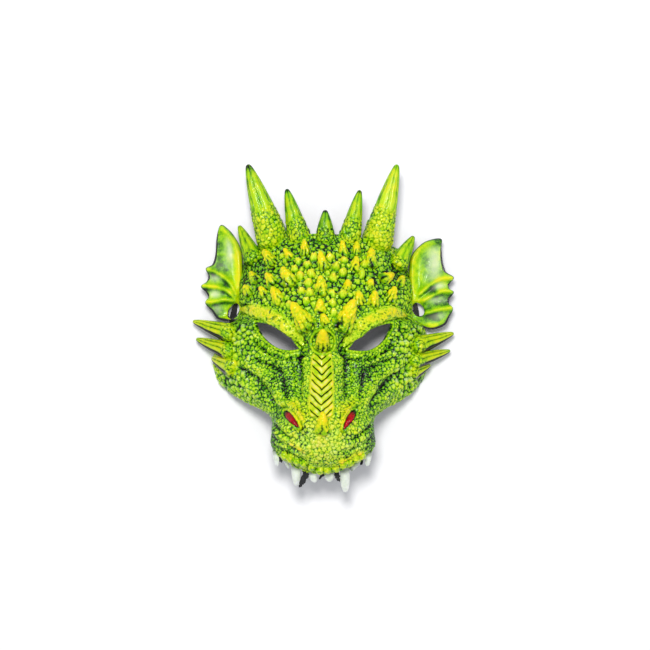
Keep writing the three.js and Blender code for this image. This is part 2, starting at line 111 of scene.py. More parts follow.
# Ridges and creases of both halves of the face: path, width, height.
FOLDS = [
    ([(20, -14), (20, -34), (19.6, -61)], 1.5, -1.3),  # channel beside the bridge
    ([(15.4, -21), (15.8, -40), (15.8, -64)], 2.2, 1.4),  # band beside the bridge
    ([(27, -30), (27, -44), (26, -62)], 3.4, 1.2),  # folds and creases of the cheek
    ([(66, -25), (52, -30.5), (39, -36), (35, -47), (31.5, -63)], 1.7, -2.4),
    ([(74, -28), (60, -36), (48, -44), (42, -54), (36, -67)], 3.8, 2.6),
    ([(72, -36), (59, -44), (47, -58), (39, -72)], 1.8, -2.6),
    ([(80, -36), (70, -48), (58, -59), (48, -68)], 4.2, 2.2),
    ([(40, -68), (32, -65), (24, -70), (17.5, -80), (15.5, -94)], 2.6, 3.2),  # nostril flare
    ([(42, -78), (34, -86), (24, -93)], 2.4, 2.2),
    ([(44, -88), (34, -96), (22, -101), (12, -104)], 2.2, 2.0),  # wrinkles of the snout
    ([(43, -83), (34, -91), (23, -97.5)], 1.2, -1.8),
    ([(44, -94), (33, -102), (20, -107)], 1.2, -1.8),
    ([(42, -103), (30, -109), (17, -114.5)], 1.5, -1.2),  # above the lip
    ([(42, -98), (30, -104), (18, -110)], 1.8, 1.8),
    ([(76, 28), (66, 22), (52, 20)], 3.0, 1.6),  # over the brow
]
NOSTRIL_PITS = [([(-33.8, -71.9), (-20.3, -86)], 4.2, -2.6), ([(27.5, -71.8), (17.8, -87)], 4.2, -2.6)]
# Two yellow ridges of the snout: path, width, height.
SNOUT_RIDGES = [([(13, -116), (25, -111.5), (37, -106)], 1.5, 2.6),
                ([(-29, -98), (-22, -102.5), (-15, -108)], 1.6, 1.8)]

# Nose plate: half widths from its top (0) to its bottom (1).
PLATE_WIDTHS = [(0, 3), (0.03, 8), (0.1, 10.2), (0.3, 11.1), (0.5, 12), (0.8, 12.8), (0.93, 11.6),
                (0.98, 8.5), (1, 3)]
PLATE_TOP_Y = -19.5
PLATE_BOTTOM_Y = -78
PLATE_RISE = 3.0
CHEVRONS = 9
COLLAR_RADIUS = 10.8
COLLAR_CENTRE = (0, -11.8)
NOSE_HORN_ROOT_Y = -15.5
NOSE_HORN_TIP_Y = -0.8
NOSE_HORN_RISE = 15
NOSE_HORN_RADIUS = 5.6
# Half length and half width of the nostrils' red lenses and of the lids round them.
LENS_SIZE = (9.4, 2.75)
LID_SIZE = (10.1, 3.5)
LENS_RISE = 1.5

# Where the yellow dry-brushing lies: x, y, spread along x and y, amount. Both sides alike.
YELLOW_AREAS = [(0, -98, 30, 24, 0.42), (22, -74, 9, 14, 0.6), (0, -45, 9, 40, 0.5),
                (0, 45, 50, 28, 0.15), (84, -22, 12, 12, 0.3), (12, -118, 20, 8, 0.15),
                (15.5, -50, 3, 24, 0.12), (50, -46, 20, 30, -0.16)]
# Where the dark wash stays: x, y, spread along x and y, amount.
DARK_AREAS = [(45, -92, 6, 16, 0.8), (20, -30, 3.5, 26, 0.35), (35, -42, 13, 18, 0.3),
              (70, 58, 10, 14, 0.5), (0, 72, 26, 7, 0.3), (72, 4, 9, 8, 0.4),
              (18, -8, 6, 10, 0.35), (84, -48, 14, 10, 0.2), (55, 44, 22, 12, 0.25),
              (50, -50, 18, 24, 0.13)]

# ---------- fins, strap and teeth ----------

FIN_BASE_Z = 13.5
FIN_RISE = 0.22
FIN_THICKNESS = 2.6
FIN_STEP = 0.5
# In each fin, "pale" lists the spots of painted sheen on the membranes: x, y, spread along x and y, amount.
FINS = {
    "left": {
        "outline": [(-92.3, 91.4), (-87, 89), (-80.8, 82), (-75.6, 72), (-74, 60), (-74, 30),
                    (-73, 12), (-80, 8), (-93.6, 9.6), (-99.5, 17), (-105, 23.9), (-102, 28),
                    (-104.2, 33.5), (-108.4, 38.3), (-103.6, 42), (-101.6, 47.8), (-104, 53.6),
                    (-98.6, 56.5), (-96, 66), (-95.2, 80)],
        "leading": [(-79, 22), (-76.2, 40), (-75.8, 58), (-78.5, 74), (-84, 84), (-92, 91)],
        "ribs": [[(-78, 30), (-84, 41), (-93, 49), (-104, 53.6)],
                 [(-79, 27), (-87, 34.5), (-97, 37.5), (-108.4, 38.3)],
                 [(-80, 25), (-88, 26), (-96, 24.5), (-105, 23.9)]],
        "inner": [(-79, 30), (-83, 48), (-87, 66), (-90, 80)],
        "hem": [(-82, 18), (-88, 12), (-95, 9)],
        "pale": [(-84, 72, 3.2, 13, 0.9), (-97, 46, 5, 3.5, 0.8), (-97, 31, 5, 3.5, 0.8),
                 (-95, 17, 4, 4, 0.7), (-93, 56, 5, 5, 0.4)],
        "dark": [(-93, 78, 4, 11, 0.75), (-99, 47, 3, 6, 0.3), (-88, 38, 3, 3, 0.3),
                 (-88, 53, 3, 6, 0.4)],
        "hole": (-80.4, 16, 7.2, 4.1, 1.1),
        "rib_root": (-79, 27),
    },
    "right": {
        "outline": [(105.6, 79.4), (94.2, 77.5), (86.6, 72.2), (81, 65), (79, 56), (79, 30),
                    (78, 12), (84, 6), (96, 0.5), (108.6, 4), (113, 12), (115.8, 18.7),
                    (112.4, 22), (112.6, 27.5), (116.2, 32.8), (112.2, 35.8), (112.4, 40.5),
                    (116.2, 45.5), (109.6, 50), (106.6, 60), (105.8, 72)],
        "leading": [(82, 24), (80.8, 43), (80.6, 58), (83.6, 67), (90, 75), (105, 79)],
        "ribs": [[(86, 30), (95.5, 38.5), (106, 44.5), (116.2, 45.5)],
                 [(90, 25), (101, 31), (109, 33.8), (116.2, 32.8)],
                 [(92, 14), (99, 15.4), (106.4, 17.6), (115.8, 18.7)]],
        "inner": [(86, 30), (90, 44), (94, 58), (97, 70)],
        "hem": [(92, 4), (101, 4), (109, 8), (114, 14)],
        "pale": [(100, 58, 6, 17, 0.95), (104, 38, 6, 3, 0.7), (102, 26, 8, 3, 0.7),
                 (103, 11, 8, 4, 0.6)],
        "dark": [(104.5, 79, 6, 6, 1.3), (90, 64, 3.5, 8, 0.5), (100, 22, 12, 3, 0.6),
                 (102, 9, 11, 4, 0.5), (102, 33, 8, 2, 0.3)],
        "hole": (86, 17.2, 6.6, 4.6, -0.96),
        "rib_root": (86, 26),
    },
}

STRAP_HEIGHT = 8
STRAP_THICKNESS = 1.5
STRAP_ROUTE = [(-85, -12), (-83.6, 0), (-81.4, 12), (-78.6, 23), (-74, 34), (-64, 47), (-45, 55),
               (-22, 59), (0, 60), (23, 59), (46, 55), (66, 47), (77.5, 34), (83.2, 23),
               (84.6, 12), (85, 0), (85, -12)]
STRAP_LEAN = 0.75  # how far the band leans over beside the strap holes, in radians

# ---------- colours, as painted ----------

GREENS = [(0.0, (3, 9, 8)), (0.14, (10, 38, 10)), (0.32, (52, 122, 6)), (0.56, (112, 180, 2)),
          (0.8, (166, 212, 6)), (1.0, (200, 232, 50))]
YELLOWS = [(0.0, (16, 24, 8)), (0.18, (84, 108, 6)), (0.38, (178, 198, 4)), (0.66, (224, 222, 4)),
           (1.0, (242, 208, 14))]
FIN_GREENS = [(0.0, (16, 44, 22)), (0.2, (52, 112, 14)), (0.42, (116, 182, 6)), (0.7, (168, 216, 4)),
              (1.0, (216, 236, 20))]
CHARCOAL = (30, 31, 35)
# the milky colour of the painted highlights and sheen on the scales, the nose plate and the fins
PAINTED_HIGHLIGHT = (216, 226, 190)
RED = (176, 0, 18)
ELASTIC = (22, 19, 21)


def linear(colour):
    """sRGB 0 to 255 turned into the renderer's linear values."""
    values = [c / 255 for c in colour]
    return tuple(v / 12.92 if v <= 0.04045 else ((v + 0.055) / 1.055) ** 2.4 for v in values) + (1,)


# ---------- numbers ----------


def noise_at(points, size, seed=0.0):
    """Smooth noise from about -1 to 1, with lumps of the given size in millimetres."""
    shift = Vector((17.3 * seed, 5.1 * seed, 9.7 * seed))
    flat = np.asarray(points, float).reshape(-1, 3) / size
    return np.array([noise.noise(Vector(p) + shift) for p in flat]).reshape(np.shape(points)[:-1])


def unit(vectors):
    """The same vectors with length 1."""
    return vectors / np.maximum(np.linalg.norm(vectors, axis=-1, keepdims=True), 1e-9)


def smooth_step(x, low, high):
    t = np.clip((np.asarray(x, float) - low) / (high - low), 0, 1)
    return t * t * (3 - 2 * t)


def smooth_table(pairs):
    """Monotone cubic through the given (position, value) pairs, held flat past both ends."""
    xs, ys = np.array(pairs, float).T
    steps = np.diff(xs)
    slopes = np.diff(ys) / steps
    product = slopes[:-1] * slopes[1:]
    total = np.where(product > 0, slopes[:-1] + slopes[1:], 1)
    middle = np.where(product > 0, 2 * product / total, 0)
    tangents = np.concatenate([slopes[:1], middle, slopes[-1:]])

    def value(position):
        x = np.clip(np.asarray(position, float), xs[0], xs[-1])
        i = np.clip(np.searchsorted(xs, x, side="right") - 1, 0, len(xs) - 2)
        t = (x - xs[i]) / steps[i]
        return ((2 * t**3 - 3 * t**2 + 1) * ys[i] + (t**3 - 2 * t**2 + t) * steps[i] * tangents[i]
                + (3 * t**2 - 2 * t**3) * ys[i + 1] + (t**3 - t**2) * steps[i] * tangents[i + 1])

    return value


half_width_at = smooth_table(HALF_WIDTHS)
crest_at = smooth_table(CREST_HEIGHTS)
rim_at = smooth_table(RIM_HEIGHTS)
roundness_at = smooth_table(ROUNDNESS)
bow_at = smooth_table(ROW_BOWS)
shift_at = smooth_table(SIDE_SHIFTS)
plate_width_at = smooth_table(PLATE_WIDTHS)


def face_modelling(x, y):
    height = np.zeros(np.shape(x))
    for cx, cy, along, across, turn, rise in FACE_MODELLING:
        dx = np.abs(x) - cx
        dy = y - cy
        u = (dx * math.cos(turn) + dy * math.sin(turn)) / along
        v = (dy * math.cos(turn) - dx * math.sin(turn)) / across
        height = height + rise * np.exp(-(u * u + v * v))
    return height


def face_point(row, side, inset=0.0):
    """Points of the face: row along the side edge, side from -1 to 1, inset below the surface."""
    row, side = np.broadcast_arrays(np.asarray(row, float), np.asarray(side, float))
    s = np.abs(side)
    rim = rim_at(row)
    power = roundness_at(row)
    rise = np.clip(1 - s ** (2 / power), 0, 1) ** (power / 2)
    x = side * (half_width_at(row) - inset) + shift_at(row)
    y = row + bow_at(row) * (1 - s**ROW_BOW_POWER) + inset * 0.65 * smooth_step(-row, 85, 95)
    fade = smooth_step(1 - s, 0, 0.25)
    z = rim + (crest_at(row) - inset - rim) * rise + face_modelling(x, y) * fade
    return np.stack([x, y, z], axis=-1)


def face_height(x, y):
    x, y = np.broadcast_arrays(np.asarray(x, float), np.asarray(y, float))
    row = y.copy()
    for _ in range(40):
        side = np.clip((x - shift_at(row)) / half_width_at(row), -1, 1)
        target = y - bow_at(row) * (1 - np.abs(side) ** ROW_BOW_POWER)
        row = np.clip((row + target) / 2, FIRST_ROW, LAST_ROW)
    return face_point(row, side)[..., 2]


def on_face(x, y, lift=0.0):
    """Points over the given places, at the given height above the face."""
    return np.stack([x, y, face_height(x, y) + lift], axis=-1)


def spline(points, per_span=10, closed=False):
    """Catmull-Rom curve through the points."""
    p = np.array(points, float)
    if closed:
        p = np.vstack([p[-1], p, p[0], p[1]])
    else:
        p = np.vstack([2 * p[0] - p[1], p, 2 * p[-1] - p[-2]])
    t = np.linspace(0, 1, per_span, endpoint=False)[:, None]
    spans = []
    for a, b, c, d in zip(p[:-3], p[1:-2], p[2:-1], p[3:]):
        spans.append(0.5 * (2 * b + (c - a) * t + (2 * a - 5 * b + 4 * c - d) * t**2
                            + (3 * b - a - 3 * c + d) * t**3))
    if not closed:
        spans.append(p[-2][None])
    return np.vstack(spans)


def along_curve(curve, values, count):
    """The values at evenly spaced places along a curve."""
    lengths = np.concatenate([[0], np.cumsum(np.linalg.norm(np.diff(curve, axis=0), axis=1))])
    return np.interp(np.linspace(0, lengths[-1], count), lengths, values)


def resample(curve, count):
    """The same curve as evenly spaced points."""
    return np.stack([along_curve(curve, column, count) for column in curve.T], axis=1)


def ellipse(x, y, half_length, half_width, turn, count=48):
    angle = np.linspace(0, 2 * np.pi, count, endpoint=False)
    u, v = half_length * np.cos(angle), half_width * np.sin(angle)
    return np.column_stack([x + u * math.cos(turn) - v * math.sin(turn),
                            y + u * math.sin(turn) + v * math.cos(turn)])


def path_distance(xy, path):
    """Distance of each point from a path, and how far along the path its nearest point is (0 to 1)."""
    starts = path[:-1]
    edges = np.diff(path, axis=0)
    lengths = np.linalg.norm(edges, axis=1)
    before = np.concatenate([[0], np.cumsum(lengths)])
    best = np.full(xy.shape[:-1], np.inf)
    along = np.zeros(xy.shape[:-1])
    for k, (start, edge, length) in enumerate(zip(starts, edges, lengths)):
        t = np.clip(((xy - start) @ edge) / length**2, 0, 1)
        distance = np.linalg.norm(xy - start - t[..., None] * edge, axis=-1)
        nearer = distance < best
        best = np.where(nearer, distance, best)
        along = np.where(nearer, (before[k] + t * length) / before[-1], along)
    return best, along


def ridge(xy, path, width, height, taper=0.15):
    """A raised line that fades at both ends; a negative height gives a crease."""
    distance, along = path_distance(xy, spline(path, 6))
    ends = smooth_step(along, -0.05, taper) * smooth_step(1 - along, -0.05, taper)
    return height * np.exp(-((distance / width) ** 2)) * ends


def outline_distance(xy, outline):
    """Signed distance from a closed outline, negative inside it."""
    best = np.full(xy.shape[:-1], np.inf)
    inside = np.zeros(xy.shape[:-1], bool)
    x, y = xy[..., 0], xy[..., 1]
    for p, q in zip(outline, np.roll(outline, -1, axis=0)):
        edge = q - p
        t = np.clip(((xy - p) @ edge) / (edge @ edge), 0, 1)
        best = np.minimum(best, np.linalg.norm(xy - p - t[..., None] * edge, axis=-1))
        if p[1] != q[1]:
            crossing = ((p[1] > y) != (q[1] > y)) & (x < edge[0] * (y - p[1]) / edge[1] + p[0])
            inside ^= crossing
    return np.where(inside, -best, best)


def spots(x, y, table):
    """Soft patches added up: x, y, spread along x and y, amount."""
    total = np.zeros(np.shape(x))
    for cx, cy, sx, sy, amount in table:
        total = total + amount * np.exp(-(((x - cx) / sx) ** 2) - ((y - cy) / sy) ** 2)
    return total


def grid_normals(points):
    return unit(np.cross(np.gradient(points, axis=1), np.gradient(points, axis=0)))


def ring_normals(grid):
    across = np.roll(grid, -1, axis=1) - np.roll(grid, 1, axis=1)
    return unit(np.cross(across, np.gradient(grid, axis=0)))


def pushed_out(grid, lift):
    """Rings of points moved along their normals."""
    return grid + ring_normals(grid) * lift[..., None]


def tip_fade(t):
    """1 along a tapering piece, falling to 0 over the last quarter before its tip."""
    return np.clip(4 * (1 - t), 0, 1)


def outline_normals(outline):
    """Level directions that point out of a closed outline."""
    tangent = np.roll(outline, -1, axis=0) - np.roll(outline, 1, axis=0)
    outward = unit(np.column_stack([tangent[:, 1], -tangent[:, 0], 0 * tangent[:, 0]]))
    agreement = ((outline - outline.mean(axis=0)) * outward[:, :2]).sum()
    return outward * np.sign(agreement)


# ---------- scales ----------


def place_seeds(points, radii, rng, fixed=()):
    """Scale centres picked from the points so that neighbours keep about two radii apart."""
    order = rng.permutation(len(points))[: int(len(points) * 0.3)]
    taken = np.zeros((len(order) + len(fixed), 3))
    reach = np.zeros(len(order) + len(fixed))
    for i, (place, radius) in enumerate(fixed):
        taken[i], reach[i] = place, radius
    count = len(fixed)
    for i in order:
        size = radii[i] * rng.uniform(0.72, 1.3)
        apart = taken[:count] - points[i]
        if count and (np.einsum("ij,ij->i", apart, apart) < ((reach[:count] + size) * 0.84) ** 2).any():
            continue
        taken[count] = points[i]
        reach[count] = size
        count += 1
    return taken[:count], reach[:count]


def scale_field(grid, radii, rng, fixed=(), warp=1.0):
    """Splits a surface into ragged scales.

    For each point: edge is how far it is from the creases (0 to 1), owner is its scale's number,
    offset is where it lies on that scale, in scale radii, size is the scale's radius, and tone is
    a number from 0 to 1 drawn for each scale."""
    points = grid.reshape(-1, 3)
    wander = [noise_at(points, 2.6, seed) + 0.6 * noise_at(points, 1.2, seed) for seed in (3, 4, 5)]
    points = points + warp * np.stack(wander, axis=-1)
    seeds, sizes = place_seeds(points, radii.ravel(), rng, fixed)
    tree = kdtree.KDTree(len(seeds))
    for i, seed in enumerate(seeds):
        tree.insert(seed, i)
    tree.balance()
    near = np.full((len(points), 4), 1e3)
    which = np.zeros((len(points), 4), int)
    for i, point in enumerate(points):
        for k, (_, j, distance) in enumerate(tree.find_n(point, 4)):
            near[i, k] = distance / sizes[j]
            which[i, k] = j
    order = np.argsort(near, axis=1)[:, :2]
    first, second = np.take_along_axis(near, order, axis=1).T
    owner = np.take_along_axis(which, order, axis=1)[:, 0]
    edge = (second - first) / np.maximum(second + first, 1e-6)
    offset = (points - seeds[owner]) / sizes[owner][:, None]
    tones = rng.uniform(size=len(sizes))
    tones[:len(fixed)] = KNOB_TONE
    shape = grid.shape[:2]
    return SimpleNamespace(count=len(sizes), edge=edge.reshape(shape), owner=owner.reshape(shape),
                           offset=offset.reshape(grid.shape), size=sizes[owner].reshape(shape),
                           tone=tones[owner].reshape(shape))


def facets(cells, rng):
    """The height of each point on its scale when every scale leans its own way."""
    turn = rng.uniform(0, 2 * np.pi, cells.count)[cells.owner]
    slope = rng.uniform(0.1, 0.7, cells.count)[cells.owner]
    return slope * (cells.offset[..., 0] * np.cos(turn) + cells.offset[..., 1] * np.sin(turn))


def dome(edge, sharpness, full):
    """The height of a scale from its crease (0) to its top (1)."""
    return 1 - (1 - np.clip(edge / full, 0, 1)) ** sharpness


def berry(offset):
    """The height of a round knob at an offset from its centre, in knob radii."""
    return np.sqrt(np.clip(1 - (np.linalg.norm(offset, axis=-1) / 1.02) ** 2, 0, 1))


def flipped(faces):
    """The same faces seen from the other side."""
    quads = faces[:, 3] >= 0
    turned = faces[:, ::-1].copy()
    turned[~quads] = faces[~quads][:, [2, 1, 0, 3]]
    return turned


# ---------- meshes ----------


def grid_faces(rows, columns, closed=False, looped=False, offset=0):
    """Quads over a grid of points; closed joins the last column to the first, looped the last row."""
    i = np.arange(rows if looped else rows - 1)[:, None]
    j = np.arange(columns if closed else columns - 1)[None, :]
    here, below = i * columns, (i + 1) % rows * columns
    right = (j + 1) % columns
    quads = np.stack([here + j, here + right, below + right, below + j], axis=-1)
    return quads.reshape(-1, 4) + offset


def fan(centre, corners):
    """Triangles from a centre point to a ring of corners."""
    blank = np.full(len(corners), -1)
    return np.stack([np.full(len(corners), centre), np.roll(corners, -1), corners, blank], axis=1)


def cut_sheet(points, distance):
    """Faces of a grid where distance is positive, with the edge drawn along zero.

    The points next to the edge move onto it. A triangle is a face whose last corner is -1."""
    placed = points.copy()
    moved = np.full(distance.shape, np.inf)
    for axis in (0, 1):
        a = (slice(None, -1), slice(None)) if axis == 0 else (slice(None), slice(None, -1))
        b = (slice(1, None), slice(None)) if axis == 0 else (slice(None), slice(1, None))
        crossing = (distance[a] > 0) != (distance[b] > 0)
        gap = np.where(crossing, distance[a] - distance[b], 1)
        t = distance[a] / gap
        place = points[a] + t[..., None] * (points[b] - points[a])
        for corner, share in ((a, t), (b, 1 - t)):
            nearer = crossing & (share <= 0.5) & (share < moved[corner])
            placed[corner][nearer] = place[nearer]
            moved[corner][nearer] = share[nearer]
    on_edge = np.isfinite(moved)
    gone = ((distance <= 0) & ~on_edge).ravel()
    solid = ((distance > 0) & ~on_edge).ravel()
    quads = grid_faces(*distance.shape)
    missing = gone[quads].sum(axis=1)
    useful = solid[quads].any(axis=1)
    whole = quads[(missing == 0) & useful]
    broken = quads[(missing == 1) & useful]
    lost = gone[broken].argmax(axis=1)
    corners = (lost[:, None] + np.array([[1, 2, 3]])) % 4
    triangles = np.take_along_axis(broken, corners, axis=1)
    triangles = np.hstack([triangles, np.full((len(triangles), 1), -1)])
    return placed, np.vstack([whole, triangles])


def open_edges(faces):
    """Directed edges that only one face uses."""
    quads = faces[faces[:, 3] >= 0]
    triangles = faces[faces[:, 3] < 0][:, :3]
    edges = np.vstack([np.stack([shape, np.roll(shape, -1, axis=1)], axis=-1).reshape(-1, 2)
                       for shape in (quads, triangles)])
    size = edges.max() + 1
    forward = edges[:, 0] * size + edges[:, 1]
    backward = edges[:, 1] * size + edges[:, 0]
    return edges[~np.isin(forward, backward)]


def thicken(points, faces, back):
    """Closes a sheet with a second layer at the given back points, and walls between them."""
    count = len(points)
    edges = open_edges(faces)
    walls = np.stack([edges[:, 1], edges[:, 0], edges[:, 0] + count, edges[:, 1] + count], axis=1)
    under = flipped(faces)
    under[under >= 0] += count
    return np.vstack([points, back]), np.vstack([faces, under, walls])


def used_only(points, faces, values):
    """Drops the points that no face uses."""
    used = np.unique(faces[faces >= 0])
    renumber = np.full(len(points) + 1, -1)
    renumber[used] = np.arange(len(used))
    return points[used], renumber[faces], {k: v[used] for k, v in values.items()}


def outward_faces(points, faces):
    """The faces of a closed piece, turned to look outward if they look inward."""
    p = points - points.mean(axis=0)
    quads = faces[faces[:, 3] >= 0]
    volume = 0.0
    for part, corners in ((faces, (0, 1, 2)), (quads, (0, 2, 3))):
        a, b, c = (p[part[:, k]] for k in corners)
        volume += np.einsum("ij,ij->i", a, np.cross(b, c)).sum()
    return faces if volume > 0 else flipped(faces)


def new_object(name, data):
    made = bpy.data.objects.new(name, data)
    bpy.context.scene.collection.objects.link(made)
    return made


def make_piece(name, points, faces, values, material, node=None, body="mask", sharp_angle=60):
    """A mesh piece from points in millimetres, in place of a CAD node if one is named.

    values are numbers kept on the points."""
    faces = np.asarray(faces)
    values = {key: np.ravel(numbers) for key, numbers in values.items()}
    points, faces, values = used_only(points, faces, values)
    sizes = np.where(faces[:, 3] >= 0, 4, 3)
    corners = faces[faces >= 0].astype(np.int32)
    starts = np.concatenate([[0], np.cumsum(sizes)[:-1]]).astype(np.int32)
    mesh = bpy.data.meshes.new(name)
    mesh.vertices.add(len(points))
    mesh.vertices.foreach_set("co", (points * MM).ravel())
    mesh.loops.add(len(corners))
    mesh.loops.foreach_set("vertex_index", corners)
    mesh.polygons.add(len(faces))
    mesh.polygons.foreach_set("loop_start", starts)
    mesh.update(calc_edges=True)
    mesh.validate()
    for key, numbers in values.items():
        layer = mesh.attributes.new(key, "FLOAT", "POINT")
        layer.data.foreach_set("value", np.asarray(numbers, np.float32))
    mesh.shade_smooth()
    mesh.set_sharp_from_angle(angle=math.radians(sharp_angle))
    mesh.materials.append(material)
    piece = new_object(name, mesh)
    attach(piece, body)
    if node:
        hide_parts(node)


def closed_taper(name, grid, values, material, node=None):
    """A closed piece from rings of points: the first ring is capped and the last one is the tip."""
    rings, sectors = grid.shape[:2]
    points = np.vstack([grid.reshape(-1, 3), grid[0].mean(axis=0)[None]])
    caps = fan(rings * sectors, np.arange(sectors))
    faces = outward_faces(points, np.vstack([grid_faces(rings, sectors, closed=True), caps]))
    values = {k: np.append(np.ravel(v), np.ravel(v)[0]) for k, v in values.items()}
    make_piece(name, points, faces, values, material, node, sharp_angle=70)


def band(line, outward, section, widen=1.0, swell=1.0):
    """Points and faces of a closed band: a section of (out, up) pairs carried round a closed line."""
    rings = [line + outward * (out * widen) + UP * (up * (swell if up > 0 else 1.0))
             for out, up in section]
    points = np.stack(rings, axis=1).reshape(-1, 3)
    return points, outward_faces(points, grid_faces(len(line), len(section), True, True))


# ---------- materials ----------


def connect(tree, socket, value):
    """Feeds a socket from another node's output, or sets it to a number or a colour."""
    if isinstance(value, bpy.types.NodeSocket):
        tree.links.new(value, socket)
    else:
        socket.default_value = value


def add_node(tree, kind, settings=None, **inputs):
    made = tree.nodes.new(kind)
    for key, value in (settings or {}).items():
        setattr(made, key, value)
    for key, value in inputs.items():
        connect(tree, made.inputs[key.replace("_", " ")], value)
    return made


def add_math(tree, operation, *values, clamp=False):
    made = add_node(tree, "ShaderNodeMath", {"operation": operation, "use_clamp": clamp})
    for socket, value in zip(made.inputs, values):
        connect(tree, socket, value)
    return made.outputs[0]


def add_ramp(tree, factor, stops):
    made = tree.nodes.new("ShaderNodeValToRGB")
    elements = made.color_ramp.elements
    while len(elements) < len(stops):
        elements.new(0.5)
    for element, (position, colour) in zip(elements, stops):
        element.position = position
        element.color = linear(colour)
    tree.links.new(factor, made.inputs[0])
    return made.outputs[0]


def add_mix(tree, factor, a, b):
    made = add_node(tree, "ShaderNodeMix", {"data_type": "RGBA"})
    for k, value in ((0, factor), (6, a), (7, b)):
        connect(tree, made.inputs[k], value)
    return made.outputs[2]


def new_material(name):
    material = bpy.data.materials.new(name)
    material.use_nodes = True
    tree = material.node_tree
    shader = tree.nodes["Principled BSDF"]
    coordinates = tree.nodes.new("ShaderNodeTexCoord").outputs["Object"]
    return material, tree, shader, coordinates


def stored(tree, key):
    return add_node(tree, "ShaderNodeAttribute", {"attribute_name": key}).outputs["Fac"]


def add_noise(tree, place, scale, detail=3.0, roughness=0.55):
    return add_node(tree, "ShaderNodeTexNoise", Vector=place, Scale=scale, Detail=detail,
                    Roughness=roughness).outputs[0]


def add_bump(tree, height, strength, distance, below=None):
    made = add_node(tree, "ShaderNodeBump", Height=height, Strength=strength, Distance=distance)
    if below is not None:
        tree.links.new(below, made.inputs["Normal"])
    return made.outputs[0]


def paint_material(name, greens=GREENS, roughness=0.27, lumps=620.0, mottling=0.7):
    """Dark wash and painted shade in the creases, green above it, yellow dry-brushed where "yellow" says.

    "height" runs from the creases (0) to the tops (1), "shade" adds dark wash and painted shade,
    "pale" lays painted highlights over the green as a milky film, and "bare" is unpainted foam."""
    material, tree, shader, place = new_material(name)
    mottle = add_noise(tree, place, 110)
    grain = add_noise(tree, place, 900, 4.0, 0.6)
    speck = add_math(tree, "SUBTRACT", grain, 0.5)
    patch = add_math(tree, "SUBTRACT", mottle, 0.5)
    rough_height = add_math(tree, "MULTIPLY_ADD", speck, mottling, stored(tree, "height"))
    lowered = add_math(tree, "SUBTRACT", rough_height,
                       add_math(tree, "MULTIPLY", stored(tree, "shade"), 0.55))
    level = add_math(tree, "ADD", lowered, add_math(tree, "MULTIPLY", patch, mottling), clamp=True)
    green = add_ramp(tree, level, greens)
    yellow = add_ramp(tree, level, YELLOWS)
    amount = add_math(tree, "ADD", stored(tree, "yellow"),
                      add_math(tree, "MULTIPLY", add_math(tree, "ADD", patch, speck), 0.9), clamp=True)
    painted = add_mix(tree, amount, green, yellow)
    # "pale" mixes in the painted highlights as a milky film
    milky = add_mix(tree, stored(tree, "pale"), painted, linear(PAINTED_HIGHLIGHT))
    bare = add_mix(tree, stored(tree, "bare"), milky, linear(CHARCOAL))
    tree.links.new(bare, shader.inputs["Base Color"])
    tree.links.new(add_math(tree, "MULTIPLY_ADD", speck, 0.3, roughness), shader.inputs["Roughness"])
    normal = add_bump(tree, grain, 0.4, 0.0004)
    if lumps:
        pebbles = add_node(tree, "ShaderNodeTexVoronoi", {"feature": "SMOOTH_F1"}, Vector=place,
                           Scale=lumps)
        normal = add_bump(tree, pebbles.outputs["Distance"], 0.5, -0.0007, normal)
    tree.links.new(normal, shader.inputs["Normal"])
    shader.inputs["Specular IOR Level"].default_value = 0.12
    shader.inputs["Coat Weight"].default_value = 0.3
    shader.inputs["Coat Roughness"].default_value = 0.1
    tree.links.new(normal, shader.inputs["Coat Normal"])
    return material


def plain_material(name, scale, stops, bump=None, tint=None, **settings):
    """Colours over noise, and bumps given by their noise scale, detail, strength and distance.

    tint is the colour where "shade" is 1."""
    material, tree, shader, place = new_material(name)
    tone = add_ramp(tree, add_noise(tree, place, scale), stops)
    if tint:
        tone = add_mix(tree, stored(tree, "shade"), tone, linear(tint))
    tree.links.new(tone, shader.inputs["Base Color"])
    if bump:
        fineness, detail, strength, distance = bump
        height = add_noise(tree, place, fineness, detail)
        tree.links.new(add_bump(tree, height, strength, distance), shader.inputs["Normal"])
    for key, value in settings.items():
        shader.inputs[key.replace("_", " ")].default_value = value
    return material


def elastic_material():
    material, tree, shader, place = new_material("woven_elastic")
    weave = add_node(tree, "ShaderNodeTexVoronoi", Vector=place, Scale=1500.0).outputs["Distance"]
    tone = add_ramp(tree, weave, [(0.1, (44, 38, 42)), (0.6, ELASTIC)])
    tree.links.new(tone, shader.inputs["Base Color"])
    tree.links.new(add_bump(tree, weave, 0.5, -0.0003), shader.inputs["Normal"])
    shader.inputs["Roughness"].default_value = 0.85
    shader.inputs["Sheen Weight"].default_value = 0.25
    return material


PAINT = paint_material("painted_foam")
HORN_PAINT = paint_material("painted_horn", roughness=0.34, lumps=0, mottling=0.26)
FIN_PAINT = paint_material("painted_fin", FIN_GREENS, 0.36, lumps=0, mottling=0.7)
FOAM = plain_material("bare_foam", 60, [(0.3, (20, 21, 24)), (0.7, (40, 41, 45))],
                      bump=(700, 4.0, 0.4, 0.0004), Roughness=0.72)
TOOTH = plain_material("milky_tooth", 240, [(0.3, (216, 225, 211)), (0.7, (242, 246, 238))],
                       bump=(500, 3.0, 0.2, 0.0003), tint=(112, 128, 100), Roughness=0.3,
                       Subsurface_Weight=0.35, Subsurface_Radius=(0.004, 0.004, 0.003))
